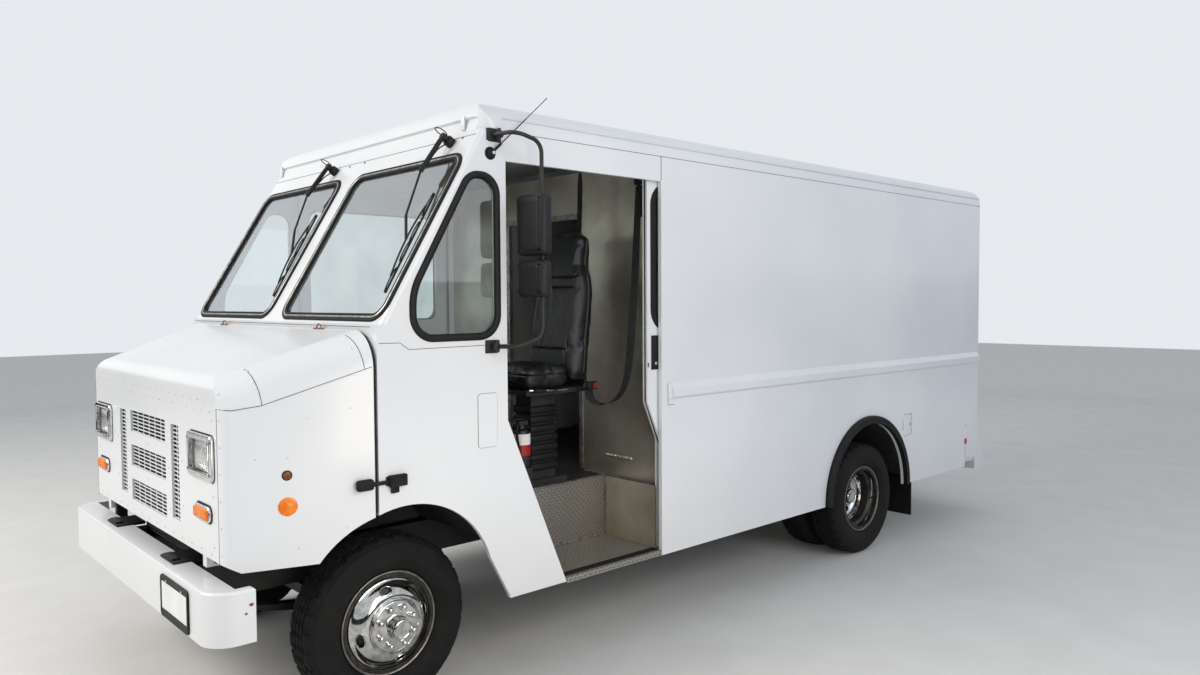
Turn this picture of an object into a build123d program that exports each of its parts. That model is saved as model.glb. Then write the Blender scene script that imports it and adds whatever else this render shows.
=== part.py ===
from build123d import *
import os
from math import atan2, cos, sin

# Walk-in step van with a tilting hood, sliding cab doors and swinging rear doors.
# Millimetres. The nose points to -Y, the driver's side is +X, and the ground is Z = 0.
# Places along the van are written as distances behind the front axle, called d.

# Overall
wheelbase = 3505.0
front_reach = 779.0        # bumper face ahead of the front axle
body_end = 5175.0          # rear face of the body behind the front axle
rear_step_depth = 200.0
body_width = 2096.0
skirt_z = 405.0
floor_z = 755.0
seam_z = 2462.0            # joint between the sides and the roof
roof_edge_radius = 115.0
roof_rise = 13.0           # upright strip of the roof below its rounded edge
roof_crown = 15.0
cap_corner = 80.0          # upright front corners of the roof's nose

# Walls
wall = 22.0
roof_wall = 25.0
door_thickness = 32.0
door_gap = 8.0             # free space each side of a sliding door
liner_thickness = 12.0
moulding_depth = 20.0
moulding_low = 1212.0
moulding_high = 1302.0
moulding_start = 1536.0
panel_gap = 6.0
hinge_gap = 0.3
sill_gap = 1.0

# Cab
cowl_d = -150.0            # front of the cab at the foot of the windshield
cowl_z = 1640.0
cowl_low_z = 925.0
slope_foot = -130.0        # front of the windshield's plane at the cowl's height
cab_rake = 0.59            # run of the sloping front for each unit of height
post_d = 1465.0            # rear edge of the driver's doorway
jamb_d = 480.0             # front edge of the doorway
jamb_bend_z = 1207.0
jamb_foot_d = 812.0
kick_low_z = 414.0
kick_front_d = 503.0
header_z = seam_z - 127.0
track_z = seam_z - 57.0      # underside of the sliding doors' rail
sill_z = 440.0
step_inner = 585.0          # riser of each entrance step
liner_end = 2620.0          # rear of the pockets the doors slide into
bulkhead_d = 1500.0
bulkhead_thickness = 25.0
aisle_half_width = 330.0
aisle_top = 2200.0

# Driver's seat
seat_x = 500.0
seat_d = 1070.0
seat_width = 440.0
seat_pan_z = 1250.0
seat_riser_z = 1460.0
seat_top_z = 2120.0
seat_cushion_depth = 129.0

# Glass
glass_thickness = 5.0
gasket_width = 26.0
gasket_depth = 12.0
pane_low_z = 1671.0
pane_high_z = seam_z - 124.0
pane_inner_x = 88.0
pane_outer_x = 1010.0
pane_corner = 60.0

# Wheel arches
front_arch_radius = 422.0
front_arch_d = -22.0
front_arch_z = 490.0
rear_arch_radius = 478.0
rear_arch_z = 415.0
flare_band = 48.0
flare_depth = 30.0
front_box_inner = 500.0    # inner wall of the front wheel boxes
rear_box_inner = 500.0
wheel_box_wall = 4.0

# Wheels
tyre_radius = 372.0
tyre_width = 223.0
bead_radius = 203.0
flange_radius = 221.0
rim_width = 160.0
front_wheel_x = 765.0
dual_outer_x = 918.0
dual_spacing = 262.0
kingpin_x = 640.0
kingpin_radius = 14.0
spindle_radius = 28.0
bore_clearance = 0.1
hub_radius = 62.0
hub_flange_radius = 105.0
stud_circle = 165.1
stud_count = 8
nut_radius = 14.0
nut_length = 26.0
disc_offset = 131.0        # mounting face off the middle of the rim
disc_thickness = 10.0
hand_hole_count = 4
hand_hole_radius = 18.0
hand_hole_circle = 165.0
front_spindle_end = 865.0
rear_spindle_end = 857.0
rear_spindle_radius = 40.0

# Chassis
rail_x = 402.0             # middle of each frame rail
rail_width = 60.0
rail_height = 160.0
rail_low = 500.0
rail_web = 6.0
rail_front = -640.0
rail_rear = 5120.0
crossmembers = (-560.0, -380.0, 620.0, 1500.0, 2500.0, 3010.0, 4080.0, 5060.0)
outriggers = (2000.0, 2700.0, 4400.0)
floor_depth = 50.0
spring_width = 60.0
spring_thickness = 34.0
spring_eye_z = 460.0
front_spring_half = 480.0
rear_spring_half = 620.0

# Hood
hood_rear = -166.0
hood_front = -691.0
hood_front_half = 877.0
hood_low_z = 732.0
hood_nose_low_z = 768.0
hood_rear_top = 1618.0
hood_slope = 0.337
hood_shoulder = 150.0
hood_nose_radius = 70.0
hood_corner = 60.0         # upright front corners seen from above
hood_skin = 8.0
plan_outset = 0.6          # keeps the corner cut just off the flat faces
hood_hinge_d = -645.0
hood_hinge_z = 742.0
hood_hinge_radius = 14.0

# Face of the hood
grille_slots = [
    # x0, x1, z0, z1, columns, rows
    (-247.0, 247.0, 1147.0, 1243.0, 6, 6),
    (-247.0, 247.0, 990.0, 1086.0, 6, 6),
    (-247.0, 247.0, 833.0, 929.0, 6, 6),
    (322.0, 418.0, 850.0, 1236.0, 2, 22),
    (-418.0, -322.0, 850.0, 1236.0, 2, 22),
]
grille_bar = 5.0           # metal left between the holes
headlamp_x = 685.0
headlamp_z = 1150.0
headlamp_width = 214.0     # hole through the hood's face
headlamp_height = 138.0
headlamp_lens_width = 200.0
headlamp_lens_height = 124.0
bezel_width = 266.0
bezel_height = 173.0
turn_x = 700.0
turn_z = 936.0
side_lamp_d = -473.0
side_lamp_z = 963.0

# Sliding doors
door_window_front = 524.0
door_window_rear = 1410.0
door_window_low = 1608.0
door_window_high = 2289.0
door_travel = 931.0

# Rear doors
rear_door_reach = 900.0
rear_door_low = 763.0
rear_door_high = 2300.0
rear_hinge_x = 905.0
rear_hinge_proud = 20.0    # pins behind the body's rear face
rear_hinge_radius = 9.0
rear_hinge_heights = (960.0, 1530.0, 2100.0)
rear_hinge_half = 35.0

# Wipers, parked along the driver's edge of each pane
wiper_pivot_z = seam_z - 44.0
wiper_park = [
    # pivot x, blade top x, blade low x
    (925.0, 955.0, 945.0),
    (-150.0, -100.0, -110.0),
]

# Bumpers
bumper_low = 500.0
bumper_high = 697.0
bumper_half = 985.0
bumper_corner = 105.0
bumper_skin = 6.0
bumper_lip = 104.0         # depth of the rolled top and bottom edges
bumper_return = 165.0
rear_bumper_low = 345.0
rear_bumper_high = 490.0
rear_bumper_half = 1010.0
rear_bumper_depth = 160.0

# Bolt holes
plate_hole_radius = 3.5
plate_hole_spacing = 177.8
plate_hole_x = -650.0
plate_hole_z = 735.0
step_hole_radius = 6.5
step_hole_x = 100.0        # half the spacing across the van
step_hole_d = 40.0         # half the spacing along it

half_width = body_width / 2
overall_length = front_reach + body_end + rear_step_depth
front_axle_y = front_reach - overall_length / 2
hub_z = tyre_radius
door_outer_x = half_width - wall - door_gap
door_inner_x = door_outer_x - door_thickness
liner_x = door_inner_x - door_gap - liner_thickness
rail_top = rail_low + rail_height
floor_low = floor_z - floor_depth
roof_top = seam_z + roof_rise + roof_edge_radius
roof_join = slope_foot + (seam_z - cowl_z) * cab_rake + 90
rear_hinge_d = body_end + rear_hinge_proud


def at_y(d):
    """Frame Y of a place d behind the front axle."""
    return front_axle_y + d


def block(x0, x1, d0, d1, z0, z1):
    size = (abs(x1 - x0), abs(d1 - d0), abs(z1 - z0))
    middle = ((x0 + x1) / 2, at_y((d0 + d1) / 2), (z0 + z1) / 2)
    return Pos(*middle) * Box(*size)


def side_plate(outline, x0, x1):
    """A sheet lying in the side plane from a face drawn in (d, z)."""
    plane = Plane(origin=(x0, front_axle_y, 0), x_dir=(0, 1, 0), z_dir=(1, 0, 0))
    return extrude(plane * outline, amount=x1 - x0)


def cross_plate(outline, d0, d1):
    """A sheet standing across the van from a face drawn in (x, z)."""
    plane = Plane(origin=(0, at_y(d0), 0), x_dir=(1, 0, 0), z_dir=(0, -1, 0))
    return extrude(plane * outline, amount=d0 - d1)


def level_plate(outline, z0, z1):
    """A level sheet from a face drawn in (x, d)."""
    plane = Plane(origin=(0, front_axle_y, z0))
    return extrude(plane * outline, amount=z1 - z0)


def polygon(*points):
    return make_face(Polyline(*points, close=True))


def rod(start, end, radius):
    """A round bar between two points given as (x, d, z)."""
    a = Vector(start[0], at_y(start[1]), start[2])
    b = Vector(end[0], at_y(end[1]), end[2])
    plane = Plane(origin=a, z_dir=b - a)
    return extrude(plane * Circle(radius), amount=(b - a).length)


def bent_rod(points, radii, radius):
    """A round tube along straight runs joined by tangent arcs."""
    route = [Vector(x, at_y(d), z) for x, d, z in points]
    path = FilletPolyline(*route, radius=radii)
    section = Plane(origin=path @ 0, z_dir=path % 0) * Circle(radius)
    return sweep(section, path=path)


def mirrored(part):
    return mirror(part, about=Plane.YZ)


def both(part):
    return part + mirrored(part)


def turned(profile, x, d, z):
    """A solid turned about an axle line from a face drawn in (across, radius)."""
    plane = Plane(origin=(x, at_y(d), z), x_dir=(1, 0, 0), z_dir=(0, -1, 0))
    return revolve(plane * profile, axis=Axis((x, at_y(d), z), (1, 0, 0)))


def slope_d(z):
    """Place of the sloping cab front at a height."""
    return slope_foot + (z - cowl_z) * cab_rake


# Sloping plane of the windshield, its local Y running up the slope.
slope_angle = atan2(cab_rake, 1)
slope_normal = (0, -cos(slope_angle), sin(slope_angle))
front_plane = Plane(
    origin=(0, at_y(slope_foot), cowl_z), x_dir=(1, 0, 0), z_dir=slope_normal
)


def up_slope(z):
    """Distance along the sloping front from its foot to a height."""
    return (z - cowl_z) / cos(slope_angle)


def front_sheet(outline, inner, outer):
    """A sheet parallel to the windshield, between two depths below the cab skin."""
    return extrude(front_plane.offset(-inner) * outline, amount=inner - outer)


def pane_outline(grow=0.0):
    """One windshield pane seen square on, on the driver's side."""
    low, high = up_slope(pane_low_z) - grow, up_slope(pane_high_z) + grow
    width = pane_outer_x - pane_inner_x + 2 * grow
    centre = ((pane_outer_x + pane_inner_x) / 2, (low + high) / 2)
    return Pos(*centre) * RectangleRounded(width, high - low, pane_corner + grow)


def quarter_outline(grow=0.0):
    """The quarter window between the windshield and the doorway, drawn in (d, z)."""
    window = polygon((22, 1588), (421, 1588), (421, 2254), (295, 2254), (22, 1767))
    window = fillet(window.vertices(), 60)
    return offset(window, grow) if grow else window


def arch_cut(d, z, radius, x0, x1):
    return rod((x0, d, z), (x1, d, z), radius)


# Chassis


def chassis_frame():
    outer = Rectangle(rail_width, rail_height)
    inner = Pos(-rail_web, 0) * Rectangle(rail_width, rail_height - 2 * rail_web)
    channel = Pos(rail_x, rail_low + rail_height / 2) * (outer - inner)
    frame = both(cross_plate(channel, rail_front, rail_rear))
    reach = rail_x + rail_width / 2 - rail_web
    for d in crossmembers:
        frame += block(-reach, reach, d - 30, d + 30, rail_low + 50, rail_top - 30)
    for d in outriggers:
        arm = block(rail_x + rail_width / 2, liner_x - 20, d - 25, d + 25, rail_top - 60, rail_top)
        frame += both(arm)
    horn = block(rail_x - 30, rail_x + 30, 6 - front_reach, rail_front, 540, 640)
    frame += both(horn)
    for centre, half in ((0, front_spring_half), (wheelbase, rear_spring_half)):
        for side in (-1, 1):
            d = centre + side * (half + hinge_gap)
            hanger = block(rail_x - 30, rail_x + 30, d, d + side * 45, spring_eye_z - 30, rail_low)
            frame += both(hanger)
    lug = block(610, 640, hood_hinge_d - 24, hood_hinge_d + 24, 560, hood_hinge_z)
    arm = block(rail_x + 30, 640, hood_hinge_d - 25, hood_hinge_d + 25, 560, 600)
    boss = rod((610, hood_hinge_d, hood_hinge_z), (640, hood_hinge_d, hood_hinge_z), 24)
    pin = rod((640, hood_hinge_d, hood_hinge_z), (690, hood_hinge_d, hood_hinge_z), hood_hinge_radius)
    return frame + both(lug + arm + boss + pin)


def engine_block():
    engine = block(-250, 250, -420, 330, 640, 1130)
    gearbox = block(-150, 150, 330, 560, 430, 690)
    radiator = block(-380, 380, -600, -540, 660, 1280)
    return engine + gearbox + radiator


def leaf_pack(centre_d, half, eye_z, axle_z):
    """A leaf spring seen from the side as a shallow arc under its frame rail."""
    drop = eye_z - axle_z
    low = ThreePointArc(
        (centre_d - half, eye_z - spring_thickness / 2),
        (centre_d, eye_z - drop),
        (centre_d + half, eye_z - spring_thickness / 2),
    )
    high = ThreePointArc(
        (centre_d - half, eye_z),
        (centre_d, eye_z - drop + spring_thickness),
        (centre_d + half, eye_z),
    )
    ends = [Line(low @ 0, high @ 0), Line(low @ 1, high @ 1)]
    face = make_face([low, high, *ends])
    return side_plate(face, rail_x - spring_width / 2, rail_x + spring_width / 2)


def front_axle():
    beam = block(-kingpin_x + 40, kingpin_x - 40, -40, 40, hub_z - 60, hub_z - 10)
    boss = rod((kingpin_x, 0, hub_z - 40), (kingpin_x, 0, hub_z + 40), 34)
    boss += block(kingpin_x - 60, kingpin_x - 20, -34, 34, hub_z - 40, hub_z + 10)
    hole = rod((kingpin_x, 0, hub_z - 60), (kingpin_x, 0, hub_z + 60), kingpin_radius + bore_clearance)
    spring = leaf_pack(0, front_spring_half, spring_eye_z, hub_z - 10)
    return beam + both(boss - hole) + both(spring)


def rear_axle():
    d = wheelbase
    tube = rod((-620, d, hub_z), (620, d, hub_z), 58)
    spindle = rod((620, d, hub_z), (rear_spindle_end, d, hub_z), rear_spindle_radius)
    pumpkin = Pos(0, at_y(d), hub_z) * Sphere(165)
    spring = leaf_pack(d, rear_spring_half, spring_eye_z, hub_z + 52)
    shaft = rod((0, 562, 500), (0, d - 150, hub_z + 40), 40)
    return tube + both(spindle) + pumpkin + both(spring) + shaft


def fuel_tank():
    """Slab tank beside the right rail, held by two bands under the outriggers."""
    middle = Pos(-650, 460)
    tank = cross_plate(middle * RectangleRounded(300, 260, 50), wheelbase - 1655, wheelbase - 655)
    band = middle * (RectangleRounded(308, 268, 54) - RectangleRounded(300, 260, 50))
    for d in outriggers[:2]:
        tank += cross_plate(band, d - 20, d + 20)
        tank += block(-700, -600, d - 20, d + 20, 590, rail_top - 60)
    return tank


def exhaust():
    """Silencer and pipes hung under the crossmembers."""
    x, z = 250, 500
    muffler = rod((x, 1640, z), (x, 2360, z), 95)
    pipe = rod((x, 700, z), (x, 1640, z), 28)
    tail = bent_rod([(x, 2360, z), (x, body_end - 675, z), (x + 90, body_end - 95, z - 60)], [300], 28)
    hangers = block(x - 12, x + 12, 1490, 1510, z + 26, rail_low + 50)
    hangers += block(x - 12, x + 12, 4070, 4090, z + 26, rail_low + 50)
    return muffler + pipe + tail + hangers


# Floor and lower body


def floor():
    """Deck of the cab and load space with its sills, firewall and engine cover."""
    side = half_width - wall
    wide = front_box_inner
    deck = block(-side, side, cowl_d + 20, post_d + 35, floor_low, floor_z)
    deck += block(-liner_x, liner_x, post_d + 35, liner_end, floor_low, floor_z)
    deck += block(-side, side, liner_end, body_end - 40, floor_low, floor_z)
    for x0, x1, d0, d1 in (
        (step_inner, half_width, jamb_d + 20, post_d + 35),
        (wide, half_width, cowl_d, jamb_d - 40),
        (rear_box_inner, half_width, wheelbase - 485, wheelbase + 495),
    ):
        deck -= both(block(x0, x1, d0, d1, floor_low - 1, floor_z + 1))
    sill = block(rail_x - 30, rail_x + 30, 640, body_end - 60, rail_top, floor_low)
    firewall = block(-wide, wide, cowl_d + 20, cowl_d + 45, floor_z, cowl_z - 80)
    firewall += block(-side, side, cowl_d + 20, cowl_d + 45, cowl_low_z, cowl_z - 80)
    cover = block(-260, 260, cowl_d + 45, 380, floor_z, 1190)
    hollow = block(-252, 252, cowl_d - 10, 372, floor_low - 1, 1182)
    return (deck + both(sill) + firewall + cover) - hollow


def wheel_boxes():
    """Round-topped boxes over the wheels, as (d, z, radius, inner wall, front, bottom)."""
    t = wheel_box_wall
    side = half_width - wall
    boxes = []
    for d, z, radius, inner, front, low in (
        (front_arch_d, front_arch_z, front_arch_radius + 18, front_box_inner, cowl_d + 20, floor_low),
        (wheelbase + 6, rear_arch_z, rear_arch_radius + 6, rear_box_inner, 2000, rear_arch_z + 60),
    ):
        box = arch_cut(d, z, radius, inner, side) - arch_cut(d, z, radius - t, inner + t, half_width)
        keep = block(inner - 1, half_width, front, d + radius + 1, low, z + radius + 1)
        boxes.append(both(box & keep))
    return boxes[0] + boxes[1]


def step_wells():
    """Tread, riser and end walls of each entrance, cut for the sliding door, with its sill."""
    outer = half_width - wall
    inner = step_inner
    t = 4.0
    outline = polygon(
        (jamb_d + 20, floor_z), (post_d + 31, floor_z), (post_d + 31, sill_z - 20), (790, sill_z - 20)
    )
    cavity = polygon(
        (jamb_d + 24, floor_z + 2), (post_d + 27, floor_z + 2),
        (post_d + 27, sill_z - 16), (794, sill_z - 16),
    )
    well = side_plate(outline, inner, outer) - side_plate(cavity, inner + t, outer + 5)
    passage = door_inner_x - door_gap
    well -= block(passage, outer + 1, post_d + 20, post_d + 40, sill_z - 4, floor_z + 1)
    start = jamb_foot_d + sill_gap
    sill = block(outer, half_width, start, post_d, sill_z - 34, sill_z - 8)
    lip = block(outer - 40, outer, start, post_d, sill_z - 34, sill_z - 20)
    return both(well + sill + lip)


def rear_notch(x0, x1):
    return block(x0, x1, body_end - 213, body_end + 5, skirt_z - 5, skirt_z + 58)


def body_side():
    """Outer skin with its moulding and the pocket that the sliding door runs into."""
    inner = half_width - wall
    skin = block(inner, half_width, post_d, body_end - 40, skirt_z, seam_z)
    skin -= arch_cut(wheelbase + 6, rear_arch_z, rear_arch_radius, inner - 5, half_width + 5)
    skin -= rear_notch(inner - 5, half_width + 5)
    rail = polygon(
        (half_width, moulding_low), (half_width + moulding_depth, moulding_low + 14),
        (half_width + moulding_depth, moulding_high - 34), (half_width, moulding_high),
    )
    rail = fillet(rail.vertices().sort_by(Axis.X)[-2:], 12)
    skin += cross_plate(rail, moulding_start, body_end - 20)
    low, high = skirt_z + 25, track_z + 20
    start = post_d + 35
    liner = block(liner_x, liner_x + liner_thickness, start, liner_end, low, high)
    tail = block(liner_x, inner, liner_end - 20, liner_end, low, high)
    top = block(liner_x, inner, post_d, liner_end, track_z, high)
    foot = block(liner_x, inner, start, liner_end, low, low + 12)
    return skin + liner + tail + top + foot


def side_left():
    """The driver's side has a recess for the fuel filler."""
    d, z, depth = 4037, 828, 12
    flap = side_plate(Pos(d, z) * RectangleRounded(134, 158, 14), half_width - depth, half_width + 1)
    return body_side() - flap


def roof_section(grow):
    """Half round-edged roof section, drawn in (x, z), less a wall thickness grow."""
    side = half_width - grow
    edge = roof_edge_radius - grow
    spring = seam_z + roof_rise
    crown = roof_top + roof_crown - grow
    top = roof_top - grow
    right = Polyline((side, seam_z), (side, spring))
    arc = CenterArc((side - edge, spring), edge, 0, 90)
    over = ThreePointArc((side - edge, top), (0, crown), (edge - side, top))
    far = CenterArc((edge - side, spring), edge, 90, 90)
    left = Polyline((-side, spring), (-side, seam_z))
    base = Line((-side, seam_z), (side, seam_z))
    return make_face([*right.edges(), arc, over, far, *left.edges(), base])


def roof():
    """Rounded shell with its inside bows."""
    shell = cross_plate(roof_section(0), roof_join, body_end)
    shell -= cross_plate(roof_section(roof_wall), roof_join - 1, body_end - roof_wall)
    for d in (1900, 2500, 3100, 3700, 4300, 4800):
        bow = cross_plate(roof_section(roof_wall - 5), d, d + 40)
        bow -= block(-half_width + 80, half_width - 80, d - 1, d + 41, 0, roof_top - roof_wall - 40)
        bow -= block(-half_width, half_width, d - 1, d + 41, 0, seam_z + 20)
        shell += bow
    return shell


def cap_body(inset):
    """Moulded nose of the roof with a step under its rolled brow, less a wall thickness."""
    front = slope_d(seam_z) + inset
    top = roof_top + roof_crown + 2
    low = seam_z - (1 if inset else 0)
    face = make_face(
        [
            Line((front, low), (roof_join + inset, low)),
            Line((roof_join + inset, low), (roof_join + inset, top)),
            Line((roof_join + inset, top), (front + 88, top)),
            ThreePointArc((front + 88, top), (front + 22, roof_top - 22), (front + 2, seam_z + 58)),
            Line((front + 2, seam_z + 58), (front + 14, seam_z + 50)),
            Line((front + 14, seam_z + 50), (front, low)),
        ]
    )
    side = half_width - inset
    plan = polygon((-side, front - 1), (side, front - 1), (side, roof_join + 60), (-side, roof_join + 60))
    plan = fillet(plan.vertices().sort_by(Axis.Y)[:2], cap_corner - inset)
    section = cross_plate(roof_section(inset), front - 5, roof_join + inset)
    return section & side_plate(face, -side, side) & level_plate(plan, low, top)


def roof_cap():
    return cap_body(0) - cap_body(roof_wall)


def cab_outline():
    """Cab side from the cowl to the doorway post, drawn in (d, z)."""
    return polygon(
        (cowl_d, kick_low_z), (cowl_d, cowl_z), (slope_foot, cowl_z), (slope_d(seam_z), seam_z),
        (post_d, seam_z), (post_d, kick_low_z),
    )


def doorway():
    return polygon(
        (jamb_d, header_z), (post_d + 1, header_z), (post_d + 1, kick_low_z - 1),
        (jamb_foot_d, kick_low_z - 1), (jamb_d, jamb_bend_z),
    )


def cab_side():
    """Skin from the cowl to the doorway, with the rounded pillar, hatch and door track."""
    inner = half_width - wall
    flat = cab_outline() - doorway() - quarter_outline()
    panel = side_plate(flat, inner, half_width)
    slope = panel.edges().filter_by(lambda e: abs(e.length - up_slope(seam_z)) < 1).sort_by(Axis.X)[-1]
    panel = fillet(slope, wall - 2)
    panel -= arch_cut(front_arch_d, front_arch_z, front_arch_radius, inner - 5, half_width + 5)
    flare = polygon(
        (cowl_d - 1, 300), (kick_front_d, 300), (kick_front_d - 20, kick_low_z + 12), (378, 620), (0, 620),
    )
    panel -= side_plate(flare, inner - 5, half_width + 5)
    track = block(door_inner_x - 6, inner, jamb_d - 60, post_d, track_z, track_z + 20)
    hatch = side_plate(Pos(372, 1216) * RectangleRounded(100, 232, 14), half_width, half_width + 2)
    return panel + track + hatch


def cab_front():
    """Windshield surround and cowl between the two cab sides."""
    inner = half_width - wall
    high = up_slope(seam_z)
    frame = Pos(0, high / 2) * Rectangle(2 * inner, high)
    frame -= pane_outline() + mirror(pane_outline(), about=Plane.YZ)
    sheet = front_sheet(frame, 0, wall)
    cowl = block(-inner, inner, cowl_d, cowl_d + 20, cowl_low_z, cowl_z)
    cowl += block(-inner, inner, cowl_d, slope_foot + 20, cowl_z - 20, cowl_z)
    hole = front_box_inner - 1
    cowl -= block(-hole, hole, cowl_d - 1, cowl_d + 21, cowl_low_z - 1, cowl_z - 80)
    above = block(-inner, inner, cowl_d - 5, 600, seam_z, seam_z + 200)
    return (sheet + cowl) - above


def cab_glass():
    pane = front_sheet(pane_outline(-0.3), 4, 4 + glass_thickness)
    x = half_width - wall / 2
    quarter = side_plate(quarter_outline(-0.3), x, x + glass_thickness)
    return both(pane + quarter)


def cab_gaskets():
    ring = pane_outline(gasket_width) - pane_outline(-6)
    pane = front_sheet(ring, -gasket_depth, -0.0)
    quarter = quarter_outline(gasket_width) - quarter_outline(-6)
    side = side_plate(quarter, half_width, half_width + gasket_depth / 2)
    return both(pane) + both(side)


def rear_frame():
    """Surround of the rear doors with its fixed hinge halves and holes for a plate."""
    d0, d1 = body_end - 40, body_end
    panel = block(-half_width, half_width, d0, d1, skirt_z, seam_z)
    panel -= block(-rear_door_reach, rear_door_reach, d0 - 1, d1 + 1, rear_door_low, rear_door_high)
    panel -= both(rear_notch(half_width - 200, half_width + 5))
    panel -= block(-850, 850, d0 - 1, d1 + 1, skirt_z - 1, 600)
    for x in (plate_hole_x - plate_hole_spacing / 2, plate_hole_x + plate_hole_spacing / 2):
        panel -= rod((x, d0 - 1, plate_hole_z), (x, d1 + 1, plate_hole_z), plate_hole_radius)
    return panel + both(rear_hinge_frame())


def rear_hinge_frame():
    """Fixed halves of the rear door hinges, above and below each moving barrel."""
    x = rear_hinge_x
    parts = []
    for z in rear_hinge_heights:
        near, far = rear_hinge_half + hinge_gap, rear_hinge_half + 30
        for low, high in ((z - far, z - near), (z + near, z + far)):
            barrel = rod((x, rear_hinge_d, low), (x, rear_hinge_d, high), rear_hinge_radius)
            leaf = block(x, x + 45, body_end, body_end + 6, low, high)
            neck = block(x - 2, x + 5, body_end, rear_hinge_d, low, high)
            parts.append(barrel + leaf + neck)
    return parts[0].fuse(*parts[1:])


def bulkhead():
    """Partition behind the cab, with an aisle through it."""
    d0, d1 = bulkhead_d + 35, bulkhead_d + 35 + bulkhead_thickness
    panel = block(-liner_x, liner_x, d0, d1, floor_z, seam_z)
    aisle = block(-aisle_half_width, aisle_half_width, d0 - 1, d1 + 1, floor_z - 1, aisle_top)
    return panel - aisle


# Cab fittings


def dashboard():
    top = polygon(
        (cowl_d + 45, 1180), (cowl_d + 45, 1560), (cowl_d + 130, 1590), (160, 1530),
        (230, 1440), (200, 1200),
    )
    body = side_plate(top, -900, 900)
    body -= block(-262, 262, cowl_d, 400, 1100, 1192)
    foot, centre = (seat_x, 150, 1295), (seat_x, 388, 1457)
    column = rod(foot, centre, 30)
    axis = (0, centre[1] - foot[1], centre[2] - foot[2])
    wheel_plane = Plane(origin=(centre[0], at_y(centre[1]), centre[2]), x_dir=(1, 0, 0), z_dir=axis)
    wheel = Torus(205, 14) + Box(400, 30, 10) + Box(30, 400, 10) + Cylinder(45, 24)
    return body + column + wheel_plane * wheel


def seat_base():
    """Pedestal with the seat's pan and the riser that carries its back."""
    x, d = seat_x, seat_d
    post = block(x - 80, x + 80, d - 150, d + 150, floor_z, floor_z + 40)
    column = block(x - 65, x + 65, d - 80, d + 80, floor_z + 40, seat_pan_z)
    pan = block(x - 170, x + 170, d - 190, d + 252, seat_pan_z, seat_pan_z + 25)
    riser = block(x - 130, x + 130, d + 232, d + 252, seat_pan_z + 25, seat_riser_z)
    return post + column + pan + riser


def driver_seat():
    """Cushion on the pan, and a high back slotted over the riser."""
    x, d, half = seat_x, seat_d, seat_width / 2
    low = seat_pan_z + 25 + hinge_gap
    top = low + seat_cushion_depth
    cushion = block(x - half, x + half, d - 230, d + 200, low, top)
    cushion = fillet(cushion.edges().filter_by(Axis.Z), 50)
    rest = top + hinge_gap
    face = polygon((d + 82, rest), (d + 270, rest), (d + 310, seat_top_z), (d + 220, seat_top_z))
    face = fillet(face.vertices().sort_by(Axis.Y)[-2:], 35)
    back = side_plate(face, x - half, x + half)
    slot = block(
        x - 130 - hinge_gap, x + 130 + hinge_gap,
        d + 232 - hinge_gap, d + 300,
        rest - 1, seat_riser_z + hinge_gap,
    )
    return cushion + (back - slot)


# Outside fittings


def bumper_plan(inset):
    """Front bumper with swept corners seen from above, drawn in (x, d)."""
    side = bumper_half - inset
    front = inset - front_reach
    back = bumper_return - front_reach + inset
    face = polygon((-side, front), (side, front), (side, back), (-side, back))
    return fillet(face.vertices().sort_by(Axis.Y)[:2], bumper_corner - inset)


def front_bumper():
    """Pressed channel, open at the back, its returns as deep as the corners."""
    shell = level_plate(bumper_plan(0), bumper_low, bumper_high)
    shell = fillet(shell.faces().sort_by(Axis.Z)[-1].edges(), 10)
    shell -= level_plate(bumper_plan(bumper_skin), bumper_low + bumper_skin, bumper_high - bumper_skin)
    lip_d = bumper_lip - front_reach
    back_d = bumper_return - front_reach + 5
    inside = bumper_half - 36
    shell -= block(-inside, inside, lip_d, back_d, bumper_low - 1, bumper_high + 1)
    return shell


def rear_bumper():
    """Step bumper open below, on arms from the rails, with its end brackets."""
    d0, d1 = body_end + rear_step_depth - rear_bumper_depth, body_end + rear_step_depth
    half, skin = rear_bumper_half, bumper_skin
    step = block(-half, half, d0, d1, rear_bumper_low, rear_bumper_high)
    inner = half - skin
    step -= block(-inner, inner, d0 + skin, d1 - skin, rear_bumper_low - 1, rear_bumper_high - skin)
    centre = (d0 + d1) / 2
    for x in (-step_hole_x, step_hole_x):
        for d in (centre - step_hole_d, centre + step_hole_d):
            step -= rod((x, d, rear_bumper_high - 20), (x, d, rear_bumper_high + 1), step_hole_radius)
    arm = block(rail_x - 30, rail_x + 30, rail_rear - 200, d0, rear_bumper_low + 60, rail_low)
    bracket = block(
        half - 45, half - 10, body_end - 200, d0, rear_bumper_low + 73, rear_bumper_low + 107
    )
    return step + both(arm) + both(bracket)


def arch_flares():
    outer = half_width + flare_depth
    d = wheelbase + 6
    band = arch_cut(d, rear_arch_z, rear_arch_radius + flare_band, half_width, outer)
    band -= arch_cut(d, rear_arch_z, rear_arch_radius - 2, half_width - 1, outer + 1)
    band -= block(0, outer + 1, d - 700, d + 700, -300, skirt_z)
    rims = band.edges().filter_by(GeomType.CIRCLE).group_by(Axis.X)[-1]
    band = fillet(rims.sort_by(SortBy.RADIUS)[-1], 14)
    return both(band)


def mud_flaps():
    d = wheelbase + 645
    flap = block(dual_outer_x - 370, half_width - 30, d, d + 10, 150, floor_low)
    return both(flap)


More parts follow.
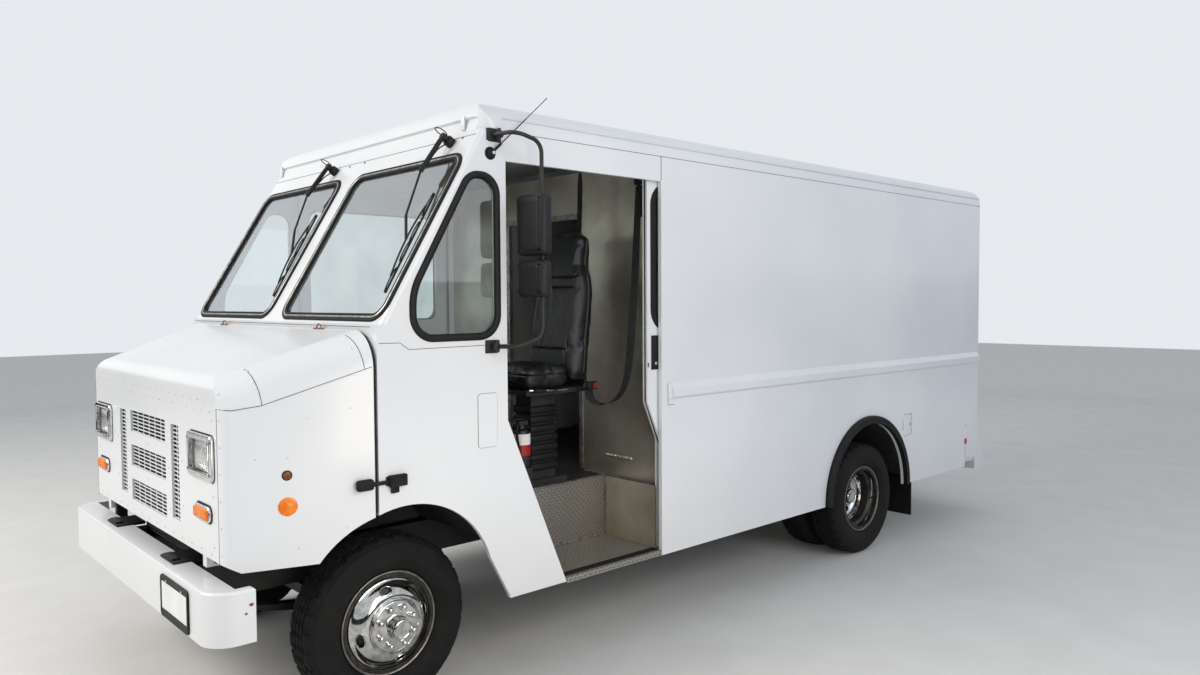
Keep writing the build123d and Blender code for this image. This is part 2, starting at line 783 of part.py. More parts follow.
def mirrors():
    """Tube loops on both cab corners, with the brackets that hold them."""
    x = half_width
    reach = 131
    high = seam_z - 22
    loop = bent_rod(
        [
            (x + 4, 410, high), (x + reach, 440, high), (x + reach, 575, high - 30),
            (x + reach, 575, 1575), (x + reach, 440, 1534), (x + 4, 395, 1534),
        ],
        [60, 60, 60, 60],
        9,
    )
    pad = block(x, x + 6, 380, 450, high - 25, high + 25)
    pad += block(x, x + 6, 365, 435, 1508, 1560)
    return both(loop + pad)


def mirror_heads():
    x = half_width + 131
    large = Pos(x, at_y(530), 2052) * Box(190, 60, 245)
    small = Pos(x, at_y(530), 1830) * Box(175, 60, 150)
    heads = fillet((large + small).edges().filter_by(Axis.Y), 22)
    clamps = block(x - 14, x + 14, 560.0, 590, 2040, 2062) + block(x - 14, x + 14, 560, 590, 1820, 1842)
    post = rod((x, 575, 1700), (x, 575, 2300), 9 + 0.3)
    return both(heads + (clamps - post))


def on_front(x, z, proud):
    """Point over the sloping front at a height, standing proud of its skin, as (x, d, z)."""
    point = front_plane.offset(proud).from_local_coords((x, up_slope(z), 0))
    return (point.X, point.Y - front_axle_y, point.Z)


def wipers_aerial():
    """Parked wipers hung from pivots above the panes, and the aerial on the driver's corner."""
    pieces = []
    for pivot_x, top_x, low_x in wiper_park:
        pieces.append(rod(on_front(pivot_x, wiper_pivot_z, 0), on_front(pivot_x, wiper_pivot_z, 55), 22))
        elbow = on_front((pivot_x + top_x) / 2, 2240, 55)
        grip = on_front((top_x + low_x) / 2, 1950, 40)
        pieces.append(rod(on_front(pivot_x, wiper_pivot_z, 48), elbow, 9))
        pieces.append(rod(elbow, grip, 5))
        pieces.append(rod(on_front(top_x, 2150, 22), on_front(low_x, 1748, 22), 7))
        pieces.append(rod(on_front((top_x + low_x) / 2, 1950, 16), grip, 6))
    side = half_width
    pieces.append(rod((side, 410, 2385), (side + 24, 410, 2385), 20))
    pieces.append(rod((side + 14, 410, 2385), (side + 44, 680, 2629), 4))
    return pieces[0].fuse(*pieces[1:])


def body_lamps():
    lens = rod((half_width, 4960, 605), (half_width + 6, 4960, 605), 30)
    tail = block(930, 1020, body_end, body_end + 20, 560, 720)
    return both(lens + tail)


# Hood


def hood_section(d, inset):
    """Section across the hood with rounded shoulders."""
    share = (hood_rear - d) / (hood_rear - hood_front)
    half = half_width - inset - share * (half_width - hood_front_half)
    top = hood_rear_top - hood_slope * (hood_rear - d) - inset
    low = hood_low_z - 140
    face = polygon((-half, low), (half, low), (half, top), (-half, top))
    corners = face.vertices().sort_by(Axis.Y)[-2:]
    face = fillet(corners, hood_shoulder - inset)
    plane = Plane(origin=(0, at_y(d), 0), x_dir=(1, 0, 0), z_dir=(0, -1, 0))
    return plane * face


def hood_plan(inset):
    """The hood's rounded front corners seen from above, drawn in (x, d)."""
    widening = (half_width - hood_front_half) / (hood_rear - hood_front)
    outset = plan_outset - inset
    rear = half_width + 60 * widening + outset
    front = hood_front_half + outset
    face = polygon(
        (-front, hood_front - outset), (front, hood_front - outset),
        (rear, hood_rear + 60), (-rear, hood_rear + 60),
    )
    return fillet(face.vertices().sort_by(Axis.Y)[:2], hood_corner - inset)


def hood_profile(inset):
    """Side view of the hood, drawn in (d, z)."""
    nose = hood_front + inset
    top_nose = hood_rear_top - hood_slope * (hood_rear - nose) - inset
    drop = 100 if inset else 0
    face = polygon(
        (hood_rear + 60, hood_low_z - drop), (hood_rear + 60, hood_rear_top + 60),
        (nose, hood_rear_top + 60), (nose, hood_nose_low_z - drop), (nose + 60, hood_low_z - drop),
    )
    sloped = polygon(
        (hood_rear + 60, 0), (hood_rear + 60, hood_rear_top + hood_slope * 60 - inset),
        (nose, top_nose), (nose, 0),
    )
    sloped = fillet(sloped.vertices().sort_by(Axis.X)[:2].sort_by(Axis.Y)[-1:], hood_nose_radius - inset)
    return face & sloped


def hood_solid(inset):
    rear = hood_section(hood_rear + inset * 2, inset)
    front = hood_section(hood_front - 5, inset)
    side = side_plate(hood_profile(inset), -half_width, half_width)
    return loft([rear, front]) & side & level_plate(hood_plan(inset), 500, 1700)


def hood_shell():
    shell = hood_solid(0) - hood_solid(hood_skin)
    shell -= both(arch_cut(front_arch_d, front_arch_z, front_arch_radius, 500, half_width + 20))
    shell -= block(
        -half_width, half_width, hood_front + hood_skin, hood_rear + 60,
        hood_low_z - 60, hood_low_z + 0.01,
    )
    for x0, x1, z0, z1 in hood_openings():
        shell -= block(x0, x1, hood_front - 5, hood_front + 60, z0, z1)
    strap = block(650, 690, hood_front + hood_skin - 1, hood_hinge_d + 22, hood_hinge_z - 22, 850)
    strap += block(650, 690, hood_front + hood_skin - 1, hood_hinge_d - 22, 850, 900)
    bore = hood_hinge_radius + hinge_gap
    strap -= rod((640, hood_hinge_d, hood_hinge_z), (700, hood_hinge_d, hood_hinge_z), bore)
    return shell + both(strap)


def hood_openings():
    """Holes through the hood's face as (x0, x1, z0, z1)."""
    holes = [slot[:4] for slot in grille_slots]
    w, h = headlamp_width / 2, headlamp_height / 2
    for x in (-headlamp_x, headlamp_x):
        holes.append((x - w, x + w, headlamp_z - h, headlamp_z + h))
    return holes


def grille_panel():
    """Perforated sheets behind the slots of the hood's face."""
    d0 = hood_front + hood_skin + 0.3
    sheets = []
    for x0, x1, z0, z1, columns, rows in grille_slots:
        wide = (x1 - x0) / columns
        high = (z1 - z0) / rows
        hole = Rectangle(wide - grille_bar, high - grille_bar)
        holes = GridLocations(wide, high, int(columns), int(rows)) * hole
        sheet = Rectangle(x1 - x0 + 16, z1 - z0 + 16) - holes
        sheets.append(cross_plate(Pos((x0 + x1) / 2, (z0 + z1) / 2) * sheet, d0, d0 + 3))
    return Compound(sheets)


def headlamps():
    """Sealed lamps set through the hood's face, held by their bezels."""
    lens = RectangleRounded(headlamp_lens_width, headlamp_lens_height, 8)
    return both(cross_plate(Pos(headlamp_x, headlamp_z) * lens, hood_front - 4, hood_front + 70))


def headlamp_bezels():
    hole = RectangleRounded(headlamp_lens_width + 2 * hinge_gap, headlamp_lens_height + 2 * hinge_gap, 8)
    ring = RectangleRounded(bezel_width, bezel_height, 24) - hole
    bezel = cross_plate(Pos(headlamp_x, headlamp_z) * ring, hood_front - 14, hood_front)
    outer = bezel.faces().sort_by(Axis.Y)[0].outer_wire().edges()
    return both(fillet(outer, 6))


def turn_signals():
    """Oval lamps on the hood's face and the round lamps on its sides."""
    lamp = Pos(turn_x, turn_z) * RectangleRounded(165, 62, 26)
    share = (hood_rear - side_lamp_d) / (hood_rear - hood_front)
    x = half_width - share * (half_width - hood_front_half)
    side = rod((x - 20, side_lamp_d, side_lamp_z), (x + 5, side_lamp_d, side_lamp_z), 35)
    side -= hood_solid(0)
    return both(cross_plate(lamp, hood_front - 22, hood_front)) + both(side)


def hood_latches():
    """Rubber pulls that hold the hood shut, one on each side."""
    x = half_width - 26
    pull = block(x, x + 46, -246, -176, 1000, 1040)
    pull = fillet(pull.edges().filter_by(Axis.X), 14)
    return both(pull - hood_solid(0))


def latch_catches():
    """Catches on the cab sides, with the straps of the hood's pulls."""
    x = half_width
    catch = block(x, x + 24, -112, -34, 1000, 1045)
    tongue = block(x + 6, x + 16, -172, -112, 1012, 1028)
    return both(catch + tongue)


# Sliding doors


def slide_outline():
    """Door panel in its closed place, drawn in (d, z)."""
    lap = 20
    return polygon(
        (jamb_d - lap, header_z + 40), (post_d + lap, header_z + 40), (post_d + lap, sill_z + 4),
        (jamb_foot_d - lap + 8, sill_z + 4), (jamb_d - lap, jamb_bend_z),
    )


def door_pane(grow=0.0):
    middle = ((door_window_front + door_window_rear) / 2, (door_window_low + door_window_high) / 2)
    width = door_window_rear - door_window_front + 2 * grow
    height = door_window_high - door_window_low + 2 * grow
    return Pos(*middle) * RectangleRounded(width, height, 45 + grow)


def sliding_door(shift):
    face = slide_outline() - door_pane()
    panel = side_plate(face, door_inner_x, door_outer_x)
    hanger = block(door_inner_x + 2, door_outer_x - 2, 700, 760, header_z + 40, track_z - hinge_gap)
    hanger += block(door_inner_x + 2, door_outer_x - 2, 1300, 1360, header_z + 40, track_z - hinge_gap)
    return Pos(0, shift, 0) * (panel + hanger)


def sliding_glass(shift):
    x = (door_inner_x + door_outer_x) / 2
    return Pos(0, shift, 0) * side_plate(door_pane(-0.3), x, x + glass_thickness)


def sliding_fittings(shift):
    ring = door_pane(45) - door_pane(-6)
    seal = side_plate(ring, door_outer_x, door_outer_x + 3)
    handle = block(door_outer_x, door_outer_x + 5, 490, 555, 1375, 1545)
    return Pos(0, shift, 0) * (seal + handle)


# Rear doors


def rear_door():
    low, high = rear_door_low + panel_gap, rear_door_high - panel_gap
    d0, d1 = body_end - 36, body_end
    x1 = rear_door_reach - panel_gap
    panel = block(3, x1, d0, d1, low, high)
    panel -= cross_plate(rear_pane(), d0 - 1, d1 + 1)
    for z in rear_hinge_heights:
        barrel = rod(
            (rear_hinge_x, rear_hinge_d, z - rear_hinge_half),
            (rear_hinge_x, rear_hinge_d, z + rear_hinge_half),
            rear_hinge_radius,
        )
        z0, z1 = z - rear_hinge_half, z + rear_hinge_half
        strap = block(rear_hinge_x - 130, x1 - 4, body_end, body_end + 6, z0, z1)
        neck = block(x1 - 12, rear_hinge_x, body_end + 1, rear_hinge_d, z0, z1)
        neck -= block(x1 - 13, x1 - 6, body_end + 6, rear_hinge_d + 9, z0 - 1, z1 + 1)
        panel += strap + neck + barrel
    return panel


def rear_pane():
    return Pos(450, 1850) * RectangleRounded(480, 560, 50)


def rear_glass():
    mid = body_end - 20
    return cross_plate(Pos(450, 1850) * RectangleRounded(479.4, 559.4, 49.7), mid, mid + glass_thickness)


# Wheels


def tyre(x):
    """Plain tyre with a flat tread, beads on the rim's seats."""
    half = tyre_width / 2
    bead = rim_width / 2 - 5.5
    right = [
        (half - 46, tyre_radius), (half - 26, tyre_radius - 10), (half - 9, tyre_radius - 32),
        (half, 300), (half - 6, 268), (bead, flange_radius + 2), (bead, bead_radius),
    ]
    left = [(-across, radius) for across, radius in reversed(right)]
    return turned(polygon(*left, *right), x, 0, hub_z)


def rim(x, side):
    """Drop-centre rim whose conical disc reaches its mounting face on one side."""
    half = rim_width / 2
    seat = bead_radius - 0.2
    barrel = polygon(
        (-half, flange_radius), (-half + 5, flange_radius), (-half + 5, seat), (-half + 40, seat),
        (-half + 55, seat - 22), (half - 55, seat - 22), (half - 40, seat), (half - 5, seat),
        (half - 5, flange_radius), (half, flange_radius), (half, seat - 8), (half - 38, seat - 8),
        (half - 53, seat - 30), (-half + 53, seat - 30), (-half + 38, seat - 8), (-half, seat - 8),
    )
    face = disc_offset
    back = disc_offset - disc_thickness
    disc = polygon(
        (40, seat - 5), (56, seat - 5), (face - 27, 178), (face, 150), (face, hub_radius - 2),
        (back, hub_radius - 2), (back, 146), (face - 35, 168), (40, seat - 14),
    )
    cone = turned(disc, 0, 0, hub_z)
    middle = Plane(origin=(60, front_axle_y, hub_z), z_dir=(1, 0, 0))
    holes = Sketch() + PolarLocations(hand_hole_circle, hand_hole_count, 45) * Circle(hand_hole_radius)
    cone -= extrude(middle * holes, amount=disc_offset)
    if side < 0:
        cone = mirrored(cone)
    return turned(barrel, x, 0, hub_z) + Pos(x, 0, 0) * cone


def nuts(x):
    """Ring of wheel nuts standing out from a disc."""
    ring = Sketch() + PolarLocations(stud_circle / 2, stud_count, 180 / stud_count) * Circle(nut_radius)
    return extrude(Plane(origin=(x - 1, front_axle_y, hub_z), z_dir=(1, 0, 0)) * ring, amount=nut_length)


def hub(inner, flange, cap, bore, end):
    """Hub sleeve with its flange and closed cap, all places given across the van."""
    profile = polygon(
        (inner, bore), (inner, hub_radius), (flange - 14, hub_radius),
        (flange - 14, hub_flange_radius), (flange, hub_flange_radius), (flange, hub_radius),
        (cap - 12, hub_radius - 4), (cap, hub_radius - 18), (cap, 0), (end, 0), (end, bore),
    )
    return turned(profile, 0, 0, hub_z)


def front_rim():
    face = front_wheel_x + disc_offset
    end = front_spindle_end + hinge_gap
    sleeve = hub(
        kingpin_x + 70, face - disc_thickness, front_wheel_x + 190, spindle_radius + bore_clearance, end
    )
    return rim(front_wheel_x, 1) + nuts(face) + sleeve


def rear_rims():
    """Both rims of a twin wheel, disc to disc on one hub."""
    inner_x = dual_outer_x - dual_spacing
    middle = dual_outer_x - dual_spacing / 2
    pair = rim(dual_outer_x, -1) + rim(inner_x, 1) + nuts(middle + disc_thickness)
    end = rear_spindle_end + hinge_gap
    sleeve = hub(
        middle - 87, middle - disc_thickness, middle + 93, rear_spindle_radius + bore_clearance, end
    )
    return pair + sleeve


def knuckle():
    pin = rod((kingpin_x, 0, hub_z - 70), (kingpin_x, 0, hub_z + 70), kingpin_radius)
    upper = rod((kingpin_x, 0, hub_z + 40 + hinge_gap), (kingpin_x, 0, hub_z + 70), 34)
    lower = rod((kingpin_x, 0, hub_z - 70), (kingpin_x, 0, hub_z - 40 - hinge_gap), 34)
    back = block(kingpin_x + 36, kingpin_x + 62, -45, 45, hub_z - 70, hub_z + 70)
    links = block(kingpin_x, kingpin_x + 62, -34, 34, hub_z + 40 + hinge_gap, hub_z + 70)
    links += block(kingpin_x, kingpin_x + 62, -34, 34, hub_z - 70, hub_z - 40 - hinge_gap)
    spindle = rod((kingpin_x + 62, 0, hub_z), (front_spindle_end, 0, hub_z), spindle_radius)
    return pin + upper + lower + back + links + spindle


def moved(part, d):
    return Pos(0, d, 0) * part


def build():
    left_shift, right_shift = door_travel, 0
    front_tyre = tyre(front_wheel_x)
    twin = moved(tyre(dual_outer_x) + tyre(dual_outer_x - dual_spacing), wheelbase)
    rear_rim = moved(rear_rims(), wheelbase)
    nodes = {
        "chassis_frame": chassis_frame(),
        "engine_block": engine_block(),
        "front_axle": front_axle(),
        "rear_axle": rear_axle(),
        "fuel_tank": fuel_tank(),
        "exhaust": exhaust(),
        "floor": floor(),
        "wheel_boxes": wheel_boxes(),
        "step_wells": step_wells(),
        "side_left": side_left(),
        "side_right": mirrored(body_side()),
        "roof": roof(),
        "roof_cap": roof_cap(),
        "cab_front": cab_front(),
        "cab_side_left": cab_side(),
        "cab_side_right": mirrored(cab_side()),
        "cab_glass": cab_glass(),
        "cab_gaskets": cab_gaskets(),
        "rear_frame": rear_frame(),
        "bulkhead": bulkhead(),
        "dashboard": dashboard(),
        "seat_base": seat_base(),
        "driver_seat": driver_seat(),
        "front_bumper": front_bumper(),
        "rear_bumper": rear_bumper(),
        "arch_flares": arch_flares(),
        "mud_flaps": mud_flaps(),
        "mirror_arms": mirrors(),
        "mirror_heads": mirror_heads(),
        "wipers_aerial": wipers_aerial(),
        "body_lamps": body_lamps(),
        "hood_shell": hood_shell(),
        "grille_panel": grille_panel(),
        "headlamps": headlamps(),
        "headlamp_bezels": headlamp_bezels(),
        "turn_signals": turn_signals(),
        "hood_latches": hood_latches(),
        "latch_catches": latch_catches(),
        "door_left": sliding_door(left_shift),
        "door_left_glass": sliding_glass(left_shift),
        "door_left_fittings": sliding_fittings(left_shift),
        "door_right": mirrored(sliding_door(right_shift)),
        "door_right_glass": mirrored(sliding_glass(right_shift)),
        "door_right_fittings": mirrored(sliding_fittings(right_shift)),
        "rear_door_left": rear_door(),
        "rear_door_left_glass": rear_glass(),
        "rear_door_right": mirrored(rear_door()),
        "rear_door_right_glass": mirrored(rear_glass()),
        "knuckle_left": knuckle(),
        "knuckle_right": mirrored(knuckle()),
        "front_left_tyre": front_tyre,
        "front_left_rim": front_rim(),
        "front_right_tyre": mirrored(front_tyre),
        "front_right_rim": mirrored(front_rim()),
        "rear_left_tyres": twin,
        "rear_left_rims": rear_rim,
        "rear_right_tyres": mirrored(twin),
        "rear_right_rims": mirrored(rear_rim),
    }
    return nodes


os.makedirs("parts", exist_ok=True)
for name, part in build().items():
    export_step(part, f"parts/{name}.step")
    print(name, len(part.solids()))
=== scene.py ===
import math

import bmesh
import bpy
from mathutils import Matrix, Vector


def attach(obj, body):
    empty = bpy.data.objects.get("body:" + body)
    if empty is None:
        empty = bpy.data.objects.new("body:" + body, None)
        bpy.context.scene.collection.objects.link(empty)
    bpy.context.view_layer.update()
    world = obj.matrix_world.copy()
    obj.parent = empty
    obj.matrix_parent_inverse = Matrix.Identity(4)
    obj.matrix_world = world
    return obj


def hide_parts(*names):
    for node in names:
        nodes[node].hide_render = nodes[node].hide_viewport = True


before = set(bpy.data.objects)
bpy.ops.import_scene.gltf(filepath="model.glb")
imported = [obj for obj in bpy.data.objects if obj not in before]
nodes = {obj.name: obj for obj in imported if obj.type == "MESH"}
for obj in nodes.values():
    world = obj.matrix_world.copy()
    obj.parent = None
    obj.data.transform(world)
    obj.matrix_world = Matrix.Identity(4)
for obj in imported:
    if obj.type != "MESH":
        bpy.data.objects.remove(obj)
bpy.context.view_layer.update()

van = {
    "frontAxleY": -2.298,
    "wheelbase": 3.505,
    "halfWidth": 1.048,
    "hubZ": 0.372,
    "bodyEndD": 5.175,
    "hoodRearD": -0.166,
    "hoodFrontD": -0.691,
    "hoodFrontHalf": 0.877,
    "hoodRearTop": 1.618,
    "hoodSlope": 0.337,
}


def atD(d):
    return van["frontAxleY"] + d


# small helpers for materials


def hexColour(text):
    # sRGB hex to the linear colour that Blender's sockets take
    channels = []
    for i in (0, 2, 4):
        c = int(text[i:i + 2], 16) / 255
        channels.append(c / 12.92 if c <= 0.04045 else ((c + 0.055) / 1.055) ** 2.4)
    return (*channels, 1.0)


def setInputs(tree, node, values=None, links=None):
    for name, value in (values or {}).items():
        node.inputs[name].default_value = value
    for name, source in (links or {}).items():
        tree.links.new(source, node.inputs[name])


def addNode(tree, kind, props=None, values=None, links=None):
    node = tree.nodes.new("ShaderNode" + kind)
    for name, value in (props or {}).items():
        setattr(node, name, value)
    setInputs(tree, node, values, links)
    return node


def newMaterial(name):
    material = bpy.data.materials.new(name)
    material.use_nodes = True
    tree = material.node_tree
    return material, tree, tree.nodes["Principled BSDF"], addNode(tree, "TexCoord").outputs["Object"]


def twoTone(tree, place, noise, dark, light):
    # clouds between two (place, hex) stops: gives the noise and the colour
    cloud = addNode(tree, "TexNoise", values=noise, links={"Vector": place}).outputs["Fac"]
    ramp = addNode(tree, "ValToRGB", links={"Fac": cloud})
    for element, (where, colour) in zip(ramp.color_ramp.elements, (dark, light)):
        element.position = where
        element.color = hexColour(colour)
    return cloud, ramp.outputs["Color"]


def between(tree, source, low, high, start=0.0, end=1.0):
    # source from start to end, laid out from low to high
    limits = {"From Min": start, "From Max": end, "To Min": low, "To Max": high}
    return addNode(tree, "MapRange", values=limits, links={"Value": source}).outputs["Result"]


# finishes


def makeFleetEnamel():
    # sprayed acrylic enamel on sheet aluminium: clean gloss, faint panel ripple, road dust low down
    look = {"paint": "DEE0E3", "shade": "D5D8DC", "dust": "B9B2A6", "patch": 0.9, "ripple": 1.8,
            "grit": 220.0}
    dust = {"top": 0.95, "foot": 0.35, "most": 0.38}
    material, tree, shader, place = newMaterial("fleetEnamelWhite")
    tone = twoTone(tree, place, {"Scale": look["patch"], "Detail": 3.0}, (0.35, look["shade"]),
                   (0.65, look["paint"]))[1]
    height = addNode(tree, "SeparateXYZ", links={"Vector": place}).outputs["Z"]
    low = between(tree, height, 0.0, dust["most"], dust["top"], dust["foot"])
    clouds = addNode(tree, "TexNoise", values={"Scale": 5.0, "Detail": 8.0, "Roughness": 0.7},
                     links={"Vector": place})
    smear = clouds.outputs["Fac"]
    dirt = addNode(tree, "Math", props={"operation": "MULTIPLY"}, links={0: low, 1: smear})
    colour = addNode(tree, "Mix", props={"data_type": "RGBA"}, values={"B": hexColour(look["dust"])},
                     links={"Factor": dirt.outputs["Value"], "A": tone})
    wave = addNode(tree, "TexNoise", values={"Scale": look["ripple"], "Detail": 1.0}, links={"Vector": place})
    peel = addNode(tree, "TexNoise", values={"Scale": look["grit"], "Detail": 1.0}, links={"Vector": place})
    ripple = addNode(tree, "Bump", values={"Strength": 0.12, "Distance": 0.02},
                     links={"Height": wave.outputs["Fac"]})
    skin = addNode(tree, "Bump", values={"Strength": 0.04, "Distance": 0.001},
                   links={"Height": peel.outputs["Fac"], "Normal": ripple.outputs["Normal"]})
    setInputs(tree, shader, {"IOR": 1.5, "Coat Weight": 0.35, "Coat Roughness": 0.12},
              {"Base Color": colour.outputs["Result"], "Roughness": between(tree, smear, 0.24, 0.40),
               "Normal": skin.outputs["Normal"]})
    return material


def makeMottled(name, dark, light, scale, roughness, metallic=0.0, bump=0.1, grain=300.0, shine=0.5):
    # a two-tone finish with a fine grain, shared by the plain paints, rubbers and castings
    material, tree, shader, place = newMaterial(name)
    cloud, tone = twoTone(tree, place, {"Scale": scale, "Detail": 6.0, "Roughness": 0.6}, (0.38, dark),
                          (0.68, light))
    fine = addNode(tree, "TexNoise", values={"Scale": grain, "Detail": 2.0}, links={"Vector": place})
    skin = addNode(tree, "Bump", values={"Strength": bump, "Distance": 0.0008},
                   links={"Height": fine.outputs["Fac"]})
    setInputs(tree, shader, {"Metallic": metallic, "Specular IOR Level": shine},
              {"Base Color": tone, "Roughness": between(tree, cloud, roughness - 0.08, roughness + 0.12),
               "Normal": skin.outputs["Normal"]})
    return material


def makeMillAluminium():
    # rolled aluminium sheet: warm grey, clouded by hand smears, fine scratches that stretch the reflections
    look = {"dark": "A19B8C", "light": "D8D2C2", "cloud": 2.2, "scratch": 160.0}
    material, tree, shader, place = newMaterial("millAluminiumSheet")
    cloud, tone = twoTone(tree, place, {"Scale": look["cloud"], "Detail": 5.0, "Roughness": 0.55},
                          (0.35, look["dark"]), (0.65, look["light"]))
    stretch = addNode(tree, "Mapping", values={"Scale": (0.03, 0.03, 1.0)}, links={"Vector": place})
    lines = addNode(tree, "TexNoise", values={"Scale": look["scratch"], "Detail": 3.0},
                    links={"Vector": stretch.outputs["Vector"]})
    brushed = addNode(tree, "Bump", values={"Strength": 0.10, "Distance": 0.001},
                      links={"Height": lines.outputs["Fac"]})
    dent = addNode(tree, "Bump", values={"Strength": 0.35, "Distance": 0.015},
                   links={"Height": cloud, "Normal": brushed.outputs["Normal"]})
    setInputs(tree, shader, {"Metallic": 0.75},
              {"Base Color": tone, "Roughness": between(tree, cloud, 0.20, 0.42),
               "Normal": dent.outputs["Normal"]})
    return material


def makeTreadPlate():
    # tread plate: raised dashes that alternate in direction, worn bright on top and dusty between
    look = {"pitch": 0.032, "valley": "85817A", "lug": "CFCCC4", "rise": 0.003}
    material, tree, shader, place = newMaterial("diamondTreadPlate")
    split = addNode(tree, "SeparateXYZ", links={"Vector": place}).outputs
    across = addNode(tree, "Math", props={"operation": "ADD"},
                     links={0: split["X"], 1: split["Z"]}).outputs["Value"]
    waves = []
    for operation in ("ADD", "SUBTRACT"):
        lean = addNode(tree, "Math", props={"operation": operation}, links={0: split["Y"], 1: across})
        scaled = addNode(tree, "Math", props={"operation": "MULTIPLY"}, values={1: 1 / look["pitch"]},
                         links={0: lean.outputs["Value"]})
        wave = addNode(tree, "Math", props={"operation": "PINGPONG"}, values={1: 0.5},
                       links={0: scaled.outputs["Value"]})
        waves.append(wave.outputs["Value"])

    def step(wave, low, high):
        limits = {"From Min": low, "From Max": high}
        soft = addNode(tree, "MapRange", props={"interpolation_type": "SMOOTHSTEP"}, values=limits,
                       links={"Value": wave})
        return soft.outputs["Result"]

    dashes = []
    for first, second in ((step(waves[0], 0.34, 0.43), step(waves[1], 0.14, 0.22)),
                          (step(waves[1], 0.16, 0.07), step(waves[0], 0.36, 0.28))):
        dash = addNode(tree, "Math", props={"operation": "MULTIPLY"}, links={0: first, 1: second})
        dashes.append(dash.outputs["Value"])
    raised = addNode(tree, "Math", props={"operation": "MAXIMUM"},
                     links={0: dashes[0], 1: dashes[1]}).outputs["Value"]
    tone = addNode(tree, "Mix", props={"data_type": "RGBA"},
                   values={"A": hexColour(look["valley"]), "B": hexColour(look["lug"])},
                   links={"Factor": raised})
    skin = addNode(tree, "Bump", values={"Strength": 1.0, "Distance": look["rise"]}, links={"Height": raised})
    setInputs(tree, shader, {"Metallic": 0.85},
              {"Base Color": tone.outputs["Result"], "Roughness": between(tree, raised, 0.5, 0.25),
               "Normal": skin.outputs["Normal"]})
    return material


def makePolishedSteel(name, dark, light, low, high):
    # pressed and polished stainless steel with a light haze of brake dust
    material, tree, shader, place = newMaterial(name)
    haze, tone = twoTone(tree, place, {"Scale": 26.0, "Detail": 7.0, "Roughness": 0.65}, (0.3, dark),
                         (0.6, light))
    setInputs(tree, shader, {"Metallic": 1.0}, {"Base Color": tone,
                                                "Roughness": between(tree, haze, low, high, 0.3, 0.75)})
    return material


def makeGlass(name, tint, roughness=0.0, smear=0.0, film=0.0):
    # float glass, very slightly wiped and dusty; the film is the sky's glare on a sloping pane
    material, tree, shader, place = newMaterial(name)
    cloud = addNode(tree, "TexNoise", values={"Scale": 3.0, "Detail": 6.0},
                    links={"Vector": place}).outputs["Fac"]
    tone = addNode(tree, "Mix", props={"data_type": "RGBA"},
                   values={"A": hexColour(tint), "B": hexColour("FFFFFF")}, links={"Factor": cloud})
    setInputs(tree, shader, {"Transmission Weight": 1.0, "IOR": 1.5, "Coat Weight": film, "Coat IOR": 1.9},
              {"Base Color": tone.outputs["Result"],
               "Roughness": between(tree, cloud, roughness, roughness + smear)})
    return material


